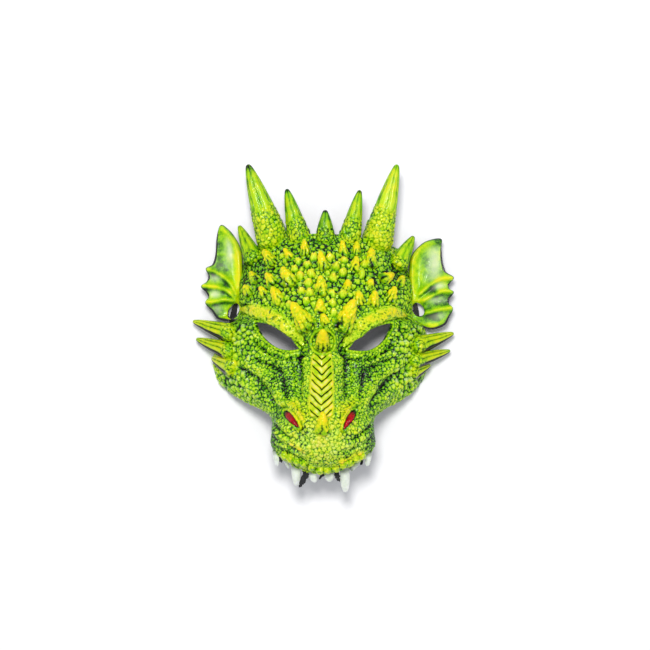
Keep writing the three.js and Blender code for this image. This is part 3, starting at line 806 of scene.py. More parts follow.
# its near-black tint, where "shade" is 1, is the painted shadow of the lid on the lens
RED_GLOSS = plain_material("red_gloss", 300, [(0.3, (92, 0, 10)), (0.55, RED), (0.85, (204, 10, 34))],
                           bump=(300, 3.0, 0.8, 0.0022), tint=(18, 4, 4), Roughness=0.14,
                           Specular_IOR_Level=0.28)
WOVEN = elastic_material()
FLOOR = plain_material("pale_floor", 4.0, [(0.3, (250, 250, 252)), (0.7, (253, 253, 255))],
                       Roughness=0.9, Specular_IOR_Level=0.1)


# ---------- the face ----------

SKIN_ROWS = 440
SKIN_COLUMNS = 460
LINING_ROWS = 130
LINING_COLUMNS = 130
SKIN_DEPTH = 2.8  # how far the skin's edge reaches down towards the lining
LINING_FRONT = 3.2
# Section of the eye rims: out, up, height of the paint, bare foam.
EYE_RIM = np.array([(-0.1, -4.6, 0.1, 1), (-0.35, -3, 0.15, 1), (-0.45, -1, 0.3, 0.5),
                    (-0.35, 0.4, 0.6, 0), (0.2, 1.1, 0.75, 0), (1.1, 1.25, 0.7, 0),
                    (1.9, 0.8, 0.45, 0), (2.3, -0.4, 0.2, 0), (2.2, -4.6, 0.1, 1)])
EYE_RIM_WAVES = 34


def face_grid(row_count, column_count):
    """Rows and sides of points evenly spaced down the middle of the face and across each row."""
    rows = np.linspace(FIRST_ROW, LAST_ROW, 1500)
    rows = along_curve(face_point(rows, 0), rows, row_count)
    sides = np.sin(np.linspace(-np.pi / 2, np.pi / 2, 700))
    sides = np.stack([along_curve(face_point(row, sides), sides, column_count) for row in rows])
    return np.repeat(rows[:, None], column_count, axis=1), sides


def mirrored(path, side):
    return [(side * x, y) for x, y in path]


def soft_relief(xy):
    """The folds, creases, nostril flares and snout wrinkles."""
    relief = np.zeros(xy.shape[:-1])
    for path, width, height in FOLDS:
        for side in (-1, 1):
            relief = relief + ridge(xy, mirrored(path, side), width, height)
    for path, width, height in NOSTRIL_PITS + SNOUT_RIDGES:
        relief = relief + ridge(xy, path, width, height)
    return relief


def scale_radius(xy):
    """Typical radius of a scale at each place."""
    x, y = np.abs(xy[..., 0]), xy[..., 1]
    radius = np.full(x.shape, 1.55)
    radius = radius + 0.9 * smooth_step(y, 12, 24) - 0.5 * smooth_step(y, 60, 72)
    radius = radius - 0.3 * smooth_step(x, 40, 60) * smooth_step(y, 12, 26)
    radius = radius + 1.1 * smooth_step(x, 54, 74) * smooth_step(-y, -8, 4)
    radius = radius - 0.55 * np.exp(-(((x - 30) / 11) ** 2) - ((y + 44) / 17) ** 2)
    radius = radius - 0.25 * np.exp(-(((x - 16) / 4) ** 2) - ((y + 40) / 26) ** 2)
    radius = radius + 0.2 * smooth_step(-y, 80, 92)
    return radius


def near_path(xy, path, reach):
    """1 on a path and within half the reach of it, fading to 0 at the reach."""
    return 1 - smooth_step(path_distance(xy, spline(path, 6))[0], reach * 0.55, reach)


def plate_centre(share):
    return -1 - 0.6 * smooth_step(share, 0.5, 0.9)


def covered_part(xy):
    """1 under the plate, the collar, the nostrils and the brows, where the skin is plain."""
    x, y = xy[..., 0], xy[..., 1]
    share = (y - PLATE_TOP_Y) / (PLATE_BOTTOM_Y - PLATE_TOP_Y)
    within = plate_width_at(share) - np.abs(x - plate_centre(share))
    plate = smooth_step(within, 0, 1.5) * (share > 0) * (share < 1)
    collar = 1 - smooth_step(np.hypot(x - COLLAR_CENTRE[0], y - COLLAR_CENTRE[1]), 9, 10.5)
    cover = np.maximum(plate, collar)
    for path, _, _ in NOSTRIL_PITS:
        cover = np.maximum(cover, near_path(xy, path, 4.2))
    for path in BROWS.values():
        cover = np.maximum(cover, near_path(xy, path, 5.5))
    return cover


def eye_distance(xy):
    """Distance from the nearer eye opening, negative inside it."""
    distance = np.full(xy.shape[:-1], 30.0)
    for eye in EYES.values():
        outline = spline(eye, 6, closed=True)
        low, high = outline.min(axis=0) - 14, outline.max(axis=0) + 14
        near = ((xy > low) & (xy < high)).all(axis=-1)
        distance[near] = np.minimum(distance[near], outline_distance(xy[near], outline))
    return distance


def knob_places(points):
    """The knobs of the forehead, as places on the surface and radii."""
    return [(points[np.linalg.norm(points[:, :2] - np.array(knob), axis=1).argmin()], KNOB_RADIUS)
            for knob in KNOBS]


def eyelids(xy, from_eye):
    """A raised band round the lower side of each eye, a crease and a softer fold below it."""
    lower = smooth_step(-xy[..., 1] - 0.32 * np.abs(xy[..., 0]), -14, -6)
    rise, crease, fold = (amount * np.exp(-(((from_eye - place) / width) ** 2))
                          for amount, place, width in ((1.7, 3.4, 2.4), (1.9, 7.3, 1.3), (0.9, 10.2, 1.9)))
    return (rise - crease + fold) * (0.25 + 0.75 * lower)


def snout_ribs(base):
    """Short creases across the wrinkles on both sides of the snout: 0 in a crease, 1 beside it."""
    x, y = base[..., 0], base[..., 1]
    line = np.abs(np.sin(1.7 * x + 2.2 * noise_at(base, 6, 28))) ** 0.6
    beside = smooth_step(np.abs(x), 9, 17) * smooth_step(-y, 82, 88)
    return 1 - (1 - line) * beside


def make_skin():
    """The front of the face: scales, knobs and folds, with its edges turned down."""
    rng = np.random.default_rng(SKIN_SEED)
    rows, sides = face_grid(SKIN_ROWS, SKIN_COLUMNS)
    base = face_point(rows, sides)
    xy = base[..., :2]
    x, y = xy[..., 0], xy[..., 1]
    from_eye = eye_distance(xy)
    relief = soft_relief(xy) + eyelids(xy, from_eye)
    cover = covered_part(xy)
    rib_gaps = 1 - snout_ribs(base)
    cells = scale_field(base, scale_radius(xy), rng, knob_places(base.reshape(-1, 3)), warp=1.3)
    tone = cells.tone
    upward = cells.offset[..., 1]
    knob = cells.owner < len(KNOBS)
    roundness = 0.25 * smooth_step(y, 14, 24) * (1 - 0.6 * smooth_step(y, 62, 76))
    roundness = np.maximum(roundness, 0.2 * smooth_step(np.abs(x), 60, 74) * smooth_step(-y, -4, 6))
    roundness = np.where(knob, 1.0, roundness)
    tile = dome(cells.edge, 2.2, 0.55)
    ball = berry(cells.offset) * dome(cells.edge, 2, 0.4)
    bump = tile * (1 + 0.9 * facets(cells, rng)) * (1 - roundness) + ball * roundness
    lean = 1 + 0.45 * np.clip(upward, -1, 1) * roundness
    broad, fine, crumbs = (noise_at(base, size, seed) for size, seed in ((14, 1), (3.5, 2), (1.5, 24)))
    outer = smooth_step(np.abs(x), 52, 70) * smooth_step(-y, -6, 4)
    steep = 0.4 + 0.45 * tone + 0.3 * roundness + 0.25 * outer
    calm = (0.35 + 0.65 * smooth_step(from_eye, 0.5, 5)) * (1 - cover)
    calm = calm * (1 - 0.5 * np.exp(-(((np.abs(x) - 15.6) / 2.5) ** 2)) * (y < -20) * (y > -66))
    scale_height = cells.size * steep * (0.85 + 0.5 * broad) * bump * lean * calm
    lift = relief * (1 - 0.7 * cover) + scale_height + 0.4 * crumbs - 0.6 - 1.4 * cover
    lift = (lift - 0.5 * rib_gaps) * (0.35 + 0.65 * smooth_step(1 - np.abs(sides), 0, 0.03))
    points = base + grid_normals(base) * lift[..., None]
    points[..., 1] += 0.45 * scale_height * roundness
    points[..., 2] = np.maximum(points[..., 2], 0.0)
    tips = roundness * smooth_step(upward, -0.6, 0.6) * (y > 0)
    hollow = spots(np.abs(x), y, [(29, -42, 8, 15, 1)])
    # painted highlights: a glint on the upper edges of some scales and a sheen on the snout's scales, laid
    # on through "pale"
    glint = tile * smooth_step(upward, 0.15, 0.75) * smooth_step(tone, 0.3, 0.8)
    snout = spots(x, y, [(0, -100, 26, 16, 1)])
    streaks = sum(ridge(xy, path, width, 1.0) for path, width, _ in SNOUT_RIDGES)
    yellow_areas, dark_areas = (np.clip(spots(np.abs(x), y, areas), 0, 1)
                                for areas in (YELLOW_AREAS, DARK_AREAS))
    # Painted light and shade: the upper edges of the scales and the tops of the folds are painted lighter,
    # the creases of the folds and the lower sides of the knobs darker.
    values = {
        "height": np.clip(tile * (0.58 + 0.22 * tone) + 0.22 * bump + 0.12 * upward * tile * (y > -60)
                          + 0.18 * broad + 0.2 * fine + 0.3 * crumbs + 0.06 * np.clip(relief, -3, 3)
                          + 0.24 * snout + 0.14 * knob - 0.3 * rib_gaps, 0, 1),
        "yellow": yellow_areas + 0.16 * (tone - 0.5) + 0.08 * np.clip(relief, 0, 3) + 0.4 * tips * knob
                  + 0.3 * tips + 0.6 * streaks - 0.2 + 0.2 * fine + 0.15 * broad - 0.3 * hollow,
        "shade": dark_areas + 0.2 * np.clip(-relief, 0, 2.2) + 0.16 * smooth_step(y, 12, 22) * (1 - knob)
                 + 0.3 * smooth_step(-from_eye, -2, 0) + 0.2 * np.clip(-broad, 0, 1)
                 + 0.25 * roundness * smooth_step(-upward, 0.2, 0.9) + 0.22 * hollow,
        "pale": (1 - cover) * ((0.15 + 0.4 * outer) * glint + 0.22 * snout * tile * tone),
    }
    points, faces = cut_sheet(points, from_eye)
    points = points.reshape(-1, 3)
    inward = unit((face_point(rows, sides, WALL) - base).reshape(-1, 3))
    edges = open_edges(faces)
    rim = np.unique(edges)
    lower = np.full(len(points), -1)
    lower[rim] = len(points) + np.arange(len(rim))
    walls = np.stack([edges[:, 1], edges[:, 0], lower[edges[:, 0]], lower[edges[:, 1]]], axis=1)
    points = np.vstack([points, points[rim] + inward[rim] * SKIN_DEPTH])
    values = {k: np.concatenate([v.ravel(), v.ravel()[rim]]) for k, v in values.items()}
    make_piece("face_skin", points, np.vstack([faces, walls]), values, PAINT,
               "face_shell")


def make_lining():
    """The bare inside of the face, open at the eyes."""
    rows, sides = face_grid(LINING_ROWS, LINING_COLUMNS)
    front = face_point(rows, sides, LINING_FRONT)
    distance = eye_distance(front[..., :2])
    front, faces = cut_sheet(front, distance)
    back, _ = cut_sheet(face_point(rows, sides, WALL), distance)
    back[..., :2] += 0.5 * (front[..., :2] - back[..., :2]) * (np.abs(distance) < 3)[..., None]
    points, faces = thicken(front.reshape(-1, 3), faces, back.reshape(-1, 3))
    points[:, 2] = np.maximum(points[:, 2], 0.05)
    make_piece("face_lining", points, faces, {}, FOAM)


def make_eye_rim(side):
    """The smooth lip of the eye opening, from the surface down to the inside of the mask."""
    outline = resample(np.vstack([spline(EYES[side], 12, closed=True), EYES[side][:1]]), 161)[:-1]
    wave = np.sin(np.arange(len(outline)) * 2 * np.pi * EYE_RIM_WAVES / len(outline))[:, None]
    line = on_face(*outline.T)
    points, faces = band(line, outline_normals(outline), EYE_RIM[:, :2], widen=1 + 0.12 * wave)
    values = {"height": EYE_RIM[:, 2] + 0.16 * wave, "yellow": np.full(len(points), -0.05),
              "bare": EYE_RIM[:, 3] + 0 * wave}
    make_piece(f"eye_rim_{side}", points, faces, values, PAINT)


# ---------- horns, spikes and teeth ----------


def node_axis(name):
    """Base centre, tip and base radius of a tapering CAD node."""
    corners = [vertex.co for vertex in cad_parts[name].data.vertices]
    points = np.unique((np.array(corners) / MM).round(3), axis=0)
    tip = points[np.linalg.norm(points - points.mean(axis=0), axis=1).argmax()]
    depth = (tip - points) @ unit(tip - points.mean(axis=0))
    base = points[depth > depth.max() * 0.72]
    centre = base.mean(axis=0)
    direction = unit(tip - centre)
    offsets = base - centre
    offsets -= (offsets @ direction)[:, None] * direction
    return centre, tip, np.linalg.norm(offsets, axis=1).mean()


def taper_grid(root, tip, radius, rings, sectors, profile, flatten=1.0, bend=0.0):
    """Rings round a tapering axis; returns the grid, t along it and the angle round it from the front.

    flatten squashes the back, and bend bows the middle towards the front."""
    length = math.dist(root, tip)
    along = unit(tip - root)
    across = unit(np.cross(along, UP))
    front = np.cross(across, along)
    t = np.linspace(0, 1, rings)[:, None] ** 0.92
    angle = np.linspace(0, 2 * np.pi, sectors, endpoint=False)[None, :]
    reach = radius * profile(t)
    forward = np.cos(angle)
    forward = np.where(forward < 0, forward * flatten, forward)
    curve = bend * length * np.sin(np.pi * t)
    grid = (root + along * (t * length)[..., None]
            + across * (reach * np.sin(angle))[..., None]
            + front * (reach * forward + curve)[..., None])
    return grid, np.broadcast_to(t, grid.shape[:2]), np.broadcast_to(angle, grid.shape[:2])


def keep_in_wall(grid):
    """Raises the points that would show inside the mask to just above its lining."""
    x, y, z = np.moveaxis(grid, -1, 0)
    side = np.clip((x - shift_at(LAST_ROW)) / half_width_at(LAST_ROW), -1, 1)
    crown_edge = LAST_ROW + bow_at(LAST_ROW) * (1 - np.abs(side) ** ROW_BOW_POWER)
    hidden = smooth_step(crown_edge - y, -1, 4)
    raised = np.maximum(z, face_height(x, y) - LINING_FRONT + 0.2)
    return np.stack([x, y, z + hidden * (raised - z)], axis=-1)


# About as in the CAD part, a little larger: root, tip, width, how much dark paint is left on the
# whole horn, and how dark its tip is.
HORNS = {
    "crown_horn_outer_left": ((-41.5, 70), (-67, 146, 43), 28.5, -0.12, 0.9),
    "crown_horn_inner_left": ((-19, 72), (-32.3, 124, 46), 21, 0.05, 0.9),
    "crown_horn_centre": ((2, 72), (2, 105, 52), 19.5, 0.25, 0.9),
    "crown_horn_inner_right": ((22, 72), (32.8, 123, 46), 20, 0.0, 0.9),
    "crown_horn_outer_right": ((45.5, 68), (66, 146, 43), 27, -0.22, 0.4),
    "temple_horn_left": ((-60, 58), (-75.5, 92.5, 22), 17.5, 0.1, 0.4),
    "temple_horn_right": ((64.5, 53), (81.5, 83, 22), 18, 0.0, 0.6),
}
CHEEK_SPIKES = {
    "cheek_spike_upper_left": ((-78, -6), (-117.5, 6.5, 13), 17, 0.0, 0.1),
    "cheek_spike_middle_left": ((-78, -22.5), (-114.5, -9.5, 11), 17, 0.0, 0.1),
    "cheek_spike_lower_left": ((-76, -36.5), (-100, -26.5, 15), 20, -0.1, 0.1),
    "cheek_spike_upper_right": ((79, -17.5), (118, -4.3, 13), 17, 0.0, 0.1),
    "cheek_spike_middle_right": ((77, -30.5), (115, -20, 11), 15, 0.0, 0.1),
    "cheek_spike_lower_right": ((77, -41), (97, -33, 14), 14, 0.1, 0.1),
}
# Tip, root and width of each blunt spike, from the crown down to the nose.
FOREHEAD_SPIKES = [
    ((-16.9, 79.3), (-15.2, 67), 7.5), ((16.8, 78.3), (18.3, 66), 7), ((30.2, 77.4), (29.4, 67), 7),
    ((42.8, 71.6), (42.3, 57), 9), ((-35.1, 71.1), (-29.5, 63.5), 6), ((-53.4, 70.2), (-44.5, 58), 9),
    ((-2.9, 68.7), (0.6, 55), 8), ((29.8, 63.9), (27.4, 53), 8), ((-36.5, 54.3), (-28.2, 40.5), 11),
    ((-50.6, 49.5), (-44.2, 40), 8.5), ((-64.9, 50.5), (-59.3, 42), 8), ((-2, 46.6), (-1.6, 33), 10),
    ((22.1, 43.2), (21.6, 36), 8), ((43.7, 43.7), (41, 38.2), 7), ((63, 48.5), (53, 43), 9),
    ((71.5, 47.5), (67.6, 38), 7.5), ((-45.2, 37), (-38.5, 25), 10), ((-55.8, 37.4), (-52, 30.5), 7.5),
    ((-70.5, 38.9), (-65, 31), 8.5), ((30.8, 33.6), (31.7, 24.5), 8.5), ((45.7, 33.6), (44, 22.8), 9.5),
    ((64, 37.4), (59.3, 26.5), 9.5), ((-2.4, 26.3), (-2.4, 16.5), 9), ((-0.5, 13), (1.8, 6.5), 7.5),
]
SPIKES = {f"forehead_spike_{number:02d}": place
          for number, place in enumerate(FOREHEAD_SPIKES, 1)}
SPIKES.update({
    "brow_spike_left": ((-27.9, 23), (-15.5, 5), 13.5),
    "brow_spike_right": ((27.9, 25.5), (18.2, 5), 14.5),
    "nose_tip_horn": ((0, -71.5), (-0.5, -86), 10),
})
TEETH = ["fang_left", "fang_right", "incisor_left", "incisor_right", "side_tooth_outer_left",
         "side_tooth_inner_left", "side_tooth_inner_right", "side_tooth_outer_right"]
# Share of the radius from the root (0) to the tip (1).
HORN_TAPER = smooth_table([(0, 0.3), (0.04, 0.72), (0.09, 0.95), (0.15, 1.01), (0.3, 0.89),
                           (0.5, 0.73), (0.7, 0.55), (0.86, 0.37), (0.94, 0.25), (0.975, 0.18),
                           (0.992, 0.11), (1, 0.01)])
SPIKE_TAPER = smooth_table([(0, 0.85), (0.08, 1.22), (0.2, 1.12), (0.45, 0.9), (0.68, 0.7),
                            (0.84, 0.53), (0.94, 0.37), (0.985, 0.2), (1, 0.02)])
TOOTH_TAPER = smooth_table([(0, 1.1), (0.35, 1.14), (0.6, 1.06), (0.8, 0.86), (0.92, 0.6),
                            (0.98, 0.34), (1, 0.01)])
NOSE_HORN_TAPER = smooth_table([(0, 1.12), (0.3, 1.04), (0.55, 0.9), (0.78, 0.68), (0.92, 0.42),
                                (0.98, 0.24), (1, 0.01)])
SPIKE_LIFT = 0.4675  # how far a spike's tip stands off the face, as a share of its length
SPIKE_SINK = 2.5
TOOTH_SINK = 3.5  # how far a tooth's root reaches behind its CAD node
TOOTH_SWELL = 1.12
# Share of a horn that is scaly, number of its grooves, depth of its root in the face.
CROWN_STYLE = (0.5, 7, 9)
TEMPLE_STYLE = (0.3, 7, 4)
CHEEK_STYLE = (0.26, 9, 2.5)


def make_lip_scales():
    """The row of large round scales along the edge of the upper lip."""
    rings, sectors = 26, 40
    polar = np.linspace(0, np.pi, rings)[:, None]
    angle = np.linspace(0, 2 * np.pi, sectors, endpoint=False)[None, :]
    ball = np.stack(np.broadcast_arrays(np.sin(polar) * np.cos(angle), np.sin(polar) * np.sin(angle),
                                        np.cos(polar)), axis=-1).reshape(-1, 3)
    rng = np.random.default_rng(LIP_SEED)
    points, faces, height, low = [], [], [], []
    for number, (x, y) in enumerate(LIP_SCALES):
        size = LIP_SCALE_RADIUS * rng.uniform(0.84, 1.15)
        x, y = x + rng.uniform(-0.5, 0.5), y + 1.0 + rng.uniform(-0.8, 0.8)
        centre = on_face(x, y, -LIP_SCALE_SINK)
        outward = unit(np.cross(on_face(x + 1, y) - on_face(x - 1, y),
                                on_face(x, y + 1) - on_face(x, y - 1)))
        lumps = noise_at(ball * size + centre, 2.2, 27)
        crumbs = noise_at(ball * size + centre, 1.2, 24)
        swell = 1 + 0.25 * lumps + 0.06 * crumbs
        # Painted light and shade: the side facing out and up is painted lighter, the side facing in painted
        # darker.
        facing = np.maximum(ball @ outward, ball[:, 2])
        points.append(keep_in_wall(centre + ball * size * LIP_SCALE_STRETCH * swell[:, None]))
        faces.append(flipped(grid_faces(rings, sectors, closed=True, offset=number * len(ball))))
        height.append(0.4 + 0.42 * facing + 0.35 * lumps + 0.3 * crumbs)
        low.append(smooth_step(-facing, -0.6, -0.2))
    height = np.clip(height, 0, 1)
    values = {"height": height, "yellow": 0.05 + 0.4 * (height - 0.5), "shade": low}
    make_piece("lip_scales", np.vstack(points), np.vstack(faces), values, HORN_PAINT)


def make_horn(node, place, rng, scaly, grooves, sink, wedge=0):
    """A horn: scaly near its root, then smooth with long grooves up to its blunt tip.

    wedge is -1 or 1 for a horn whose side towards the chin is a flat face of bare foam."""
    root, tip, width, wash, tip_shade = place
    root = on_face(*root, -sink)
    tip = np.array(tip, float)
    radius = width / 2
    rings = int(np.clip(math.dist(root, tip) / 0.6, 30, 160))
    sectors = int(np.clip(radius * 2 * np.pi / 0.55, 48, 140))
    grid, t, angle = taper_grid(root, tip, radius, rings, sectors, HORN_TAPER, 0.6)
    grid[..., 2] -= 0.4 * radius * (1 - smooth_step(t, 0, 0.4)) * (sink > 6)
    reach = radius * HORN_TAPER(t)
    wobble = 0.6 * noise_at(grid, 9, 6)
    groove = np.abs(np.sin(grooves / 2 * angle + wobble)) ** (0.45 if wedge else 0.33)
    fine_groove = np.abs(np.sin(grooves * 1.3 * angle + 2.5 * wobble + 1)) ** 0.6
    depth = 0.24 if wedge else 0.12
    groove_relief = (groove - 0.8) * depth * reach + (fine_groove - 0.8) * 0.05 * reach
    cells = scale_field(grid, np.clip(1.15 + 0.045 * radius * (1.2 - t), 1.25, 1.8), rng, warp=1.1)
    bump = dome(cells.edge, 2.2, 0.45)
    tone = cells.tone
    thickness = cells.size * (0.3 + 0.4 * tone)
    scale_relief = bump * thickness * (1 + 0.8 * facets(cells, rng)) - 0.4
    border = t + 0.1 * noise_at(grid, 6, 7)
    smooth_part = smooth_step(border, scaly - 0.05, scaly + 0.05)
    lift = scale_relief * (1 - smooth_part) + groove_relief * smooth_part
    grid = pushed_out(grid, lift * np.clip(reach / 2.0, 0, 1))
    streak = smooth_step(noise_at(grid * [1, 0.2, 1], 2.4, 8), 0.12, 0.4)
    contrast = 0.85 if wedge else 0.62
    smooth_height = 0.84 - contrast * (1 - groove) - 0.08 * (1 - fine_groove) - 0.16 * streak
    scaly_height = 0.06 + bump * (0.62 + 0.3 * tone) + 0.25 * noise_at(grid, 1.5, 24)
    wrapped = (angle + np.pi) % (2 * np.pi) - np.pi
    bare = smooth_step(np.abs(wrapped), 1.6, 1.8)
    if wedge:
        chin_side = smooth_step(wrapped * wedge, 0.55, 0.7) * smooth_step(t, 0.1, 0.22)
        bare = np.maximum(bare, chin_side)
        lowered = smooth_step(wrapped * wedge, 0.5, 1.2) * (np.abs(wrapped) < 2.2)
        grid[..., 2] -= 0.3 * reach * lowered
    values = {
        "height": np.clip(scaly_height * (1 - smooth_part) + smooth_height * smooth_part, 0, 1),
        "yellow": 0.13 - 0.35 * wash + 0.3 * abs(wedge) * smooth_part
                  + 0.2 * (tone - 0.4) * (1 - smooth_part) + 0.35 * noise_at(grid, 9, 9),
        "shade": tip_shade * smooth_step(t, 0.9, 0.98) + 0.6 * smooth_step(np.abs(wrapped), 0.8, 1.4)
                 + 0.12 * smooth_step(t, 0.5, 0.9) * tip_shade + wash,
        "bare": bare,
    }
    closed_taper(node + "_horn", keep_in_wall(grid), values, HORN_PAINT, node)


def make_spike(node, tip, root, width, rng):
    """A blunt spike whose root splits into a few ridges that run out over the skin."""
    tip, root = np.array(tip, float), np.array(root, float)
    root = root - 0.25 * (tip - root)
    length = math.dist(tip, root)
    foot = on_face(*root, -SPIKE_SINK)
    point = on_face(*tip, length * SPIKE_LIFT)
    radius = width * 0.55
    rings = int(np.clip(length * 3.2, 40, 70))
    grid, t, angle = taper_grid(foot, point, radius, rings, 72, SPIKE_TAPER, bend=0.1)
    toes = int(rng.integers(5, 8))
    phase = rng.uniform(0, 6.28)
    uneven = 0.9 * noise_at(grid * [1, 1, 0.3], 5, 25)
    groove = np.abs(np.sin(toes / 2 * angle + phase + 0.7 * np.sin(2 * angle + phase) + uneven)) ** 0.5
    cut_until = 0.48 + 0.25 * noise_at(grid * [1, 0.1, 0.1], 2.5, 26)
    rooted = 1 - smooth_step(t, cut_until - 0.2, cut_until + 0.2)
    lift = (groove - 0.75) * radius * (0.06 + 0.26 * rooted) * np.clip(1.2 - t, 0, 1)
    lumps = noise_at(grid, 2.6, 10)
    crumbs = noise_at(grid, 1.3, 24)
    grid = pushed_out(grid, lift + (0.2 * lumps * radius + 0.25 * crumbs) * tip_fade(t))
    split = 1 - (1 - groove) * (0.3 + 0.85 * rooted)
    front = np.cos(angle)
    values = {
        "height": np.clip(0.78 * split + 0.3 * lumps + 0.3 * crumbs + 0.08 * t, 0, 1),
        "yellow": 0.7 * smooth_step(t, 0.1, 0.6) + 0.45 * lumps + 0.2 * front,
        "shade": 0.3 * (1 - smooth_step(t, 0.05, 0.3)) + 0.2 * smooth_step(-front, -0.3, 0.6),
    }
    closed_taper(node + "_blunt", keep_in_wall(grid), values, HORN_PAINT, node)


def make_tooth(node, rng):
    """A blunt tooth with faint flutes, darker at its root."""
    centre, tip, radius = node_axis(node)
    root = centre - unit(tip - centre) * TOOTH_SINK
    grid, t, angle = taper_grid(root, tip, radius * TOOTH_SWELL, 34, 32, TOOTH_TAPER, 0.8, 0.02)
    streak = 0.12 * np.sin(5 * angle + rng.uniform(0, 6)) * (1 - t) + 0.18 * noise_at(grid, 3, 11)
    grid = pushed_out(grid, streak * tip_fade(t))
    values = {"shade": 0.6 * (1 - smooth_step(t, 0.1, 0.32))}
    closed_taper(node + "_tooth", grid, values, TOOTH, node)


# ---------- brow ridges, nose and nostrils ----------


def sweep(path, radii_across, radii_up, sectors):
    """Rings round a path; returns the grid, the share along the path and the angle from the top."""
    tangent = unit(np.gradient(path, axis=0))
    across = unit(np.cross(tangent, UP))
    up = np.cross(across, tangent)
    angle = np.linspace(0, 2 * np.pi, sectors, endpoint=False)
    grid = (path[:, None]
            + across[:, None] * (radii_across[:, None] * np.sin(angle))[..., None]
            + up[:, None] * (radii_up[:, None] * np.cos(angle))[..., None])
    t = np.linspace(0, 1, len(path))[:, None]
    return grid, np.broadcast_to(t, grid.shape[:2]), np.broadcast_to(angle[None], grid.shape[:2])


def make_brow(side):
    """A pitted, scaly ridge over the eye, thickest in its middle."""
    rng = np.random.default_rng(BROW_SEEDS[side])
    path = on_face(*resample(spline(BROWS[side], 12), 170).T, BROW_LIFT)
    t = np.linspace(0, 1, len(path))
    taper = np.sqrt(np.clip(smooth_step(t, -0.06, 0.3) * smooth_step(1 - t, -0.03, 0.3), 0.002, 1))
    grid, t, angle = sweep(path, BROW_RADIUS * taper * 1.18, BROW_RADIUS * taper * 0.95, 76)
    cells = scale_field(grid, np.full(t.shape, 1.3), rng)
    bump = dome(cells.edge, 2.0, 0.4)
    lumps = noise_at(grid, 5, 12)
    wrinkle = np.abs(np.sin(2.6 * angle + 1.6 * noise_at(grid, 12, 13))) ** 0.5
    crumbs = noise_at(grid, 1.4, 24)
    pits = smooth_step(noise_at(grid * [1, 1, 0.6], 2.4, 31), 0.14, 0.36)
    lift = 0.45 * bump * (0.4 + 0.6 * cells.tone) + 0.6 * wrinkle + 1.1 * lumps + 0.25 * crumbs
    lift = lift - 0.7 - 0.5 * pits
    grid = pushed_out(grid, lift * np.clip(taper[:, None], 0.1, 1))
    crown = np.cos(angle)
    inner_end = smooth_step(t, 0.45, 0.85)
    values = {
        "height": np.clip(0.42 + 0.5 * bump + 0.2 * wrinkle + 0.35 * crumbs - 0.55 * pits, 0, 1),
        "yellow": (0.6 * smooth_step(crown, 0.6, 1) + 0.35 * lumps) * (1 - 0.8 * inner_end) - 0.02,
        # painted shade along the underside of the ridge
        "shade": 0.5 * smooth_step(-crown, -0.45, 0.2),
    }
    node = f"brow_ridge_{side}"
    closed_taper(node + "_scaled", keep_in_wall(grid), values, HORN_PAINT, node)


def make_bridge_plate():
    """The nose plate: a smooth strip with a stack of V-shaped cuts that point down the nose."""
    t = np.linspace(0, 1, 230)[:, None]
    u = np.linspace(-1, 1, 101)[None, :]
    half = plate_width_at(t)
    x = u * half + plate_centre(t)
    y = PLATE_TOP_Y + (PLATE_BOTTOM_Y - PLATE_TOP_Y) * t + 0 * u
    base = face_height(x, y)
    place = np.stack([x, y, base], axis=-1)
    shoulder = np.clip((1 - np.abs(u)) / 0.3, 0, 1)
    ends = smooth_step(t, 0, 0.03) * smooth_step(1 - t, 0, 0.05)
    rounded = np.sqrt(np.clip(1 - (1 - shoulder) ** 2, 0, 1)) * ends
    wobble = 0.12 * noise_at(place, 5, 14)
    phase = (t * CHEVRONS + 0.14 * np.abs(u * half) + wobble) % 1.0
    arms = smooth_step(0.82 - np.abs(u), 0, 0.1)
    groove = (smooth_step(phase, 0.0, 0.08) - smooth_step(phase, 0.12, 0.4)) * arms
    # crest: the band beside each cut that gets a painted highlight through "pale"
    crest = (smooth_step(phase, 0.34, 0.5) - smooth_step(phase, 0.6, 0.95)) * arms
    tilt = phase * arms
    notch = np.abs(np.sin(y * 1.3 + 3 * noise_at(place, 4, 15)))
    side_marks = (1 - smooth_step(notch, 0.1, 0.5)) * smooth_step(np.abs(u), 0.8, 0.9)
    lumps = noise_at(place, 4, 16)
    rise = PLATE_RISE * rounded - 1.6 - 1.3 * groove - 0.5 * tilt - 0.4 * side_marks + 0.25 * lumps
    points = np.stack([x, y, base + rise], axis=-1)
    back = points.copy()
    back[..., 2] = base - 3
    values = {
        "height": np.clip(0.86 - 0.95 * groove - 0.5 * side_marks + 0.2 * lumps - 0.15 * tilt, 0, 1),
        "yellow": 0.5 - 0.4 * smooth_step(np.abs(u), 0.7, 1.0) + 0.5 * lumps + 0 * t,
        "shade": 0.3 * (1 - ends) + 0.4 * smooth_step(np.abs(u), 0.9, 1.0),
        "pale": 0.3 * crest * smooth_step(lumps, -0.3, 0.4),
    }
    faces = flipped(grid_faces(*points.shape[:2]))
    points, faces = thicken(points.reshape(-1, 3), faces, back.reshape(-1, 3))
    values = {k: np.tile(np.ravel(v), 2) for k, v in values.items()}
    make_piece("nose_bridge_chevrons", points, faces, values, HORN_PAINT,
               "nose_bridge_plate", sharp_angle=50)


# Sections: out, up, height of the paint, and for the lid the dark wash.
COLLAR = np.array([(-1.7, -2.5, 0.1), (-1.5, 0, 0.3), (-0.8, 1.0, 0.6), (0, 1.3, 0.72),
                   (0.9, 1.0, 0.6), (1.7, 0, 0.3), (2.0, -2.5, 0.1)])
LID = np.array([(-1.2, -2.5, 0.0, 1.0), (-1.0, -0.2, 0.15, 0.6), (-0.4, 0.9, 0.5, 0),
                (0.3, 1.4, 0.75, 0), (1.2, 1.0, 0.7, 0), (2.2, -0.3, 0.4, 0.1),
                (2.4, -2.5, 0.1, 0.4)])


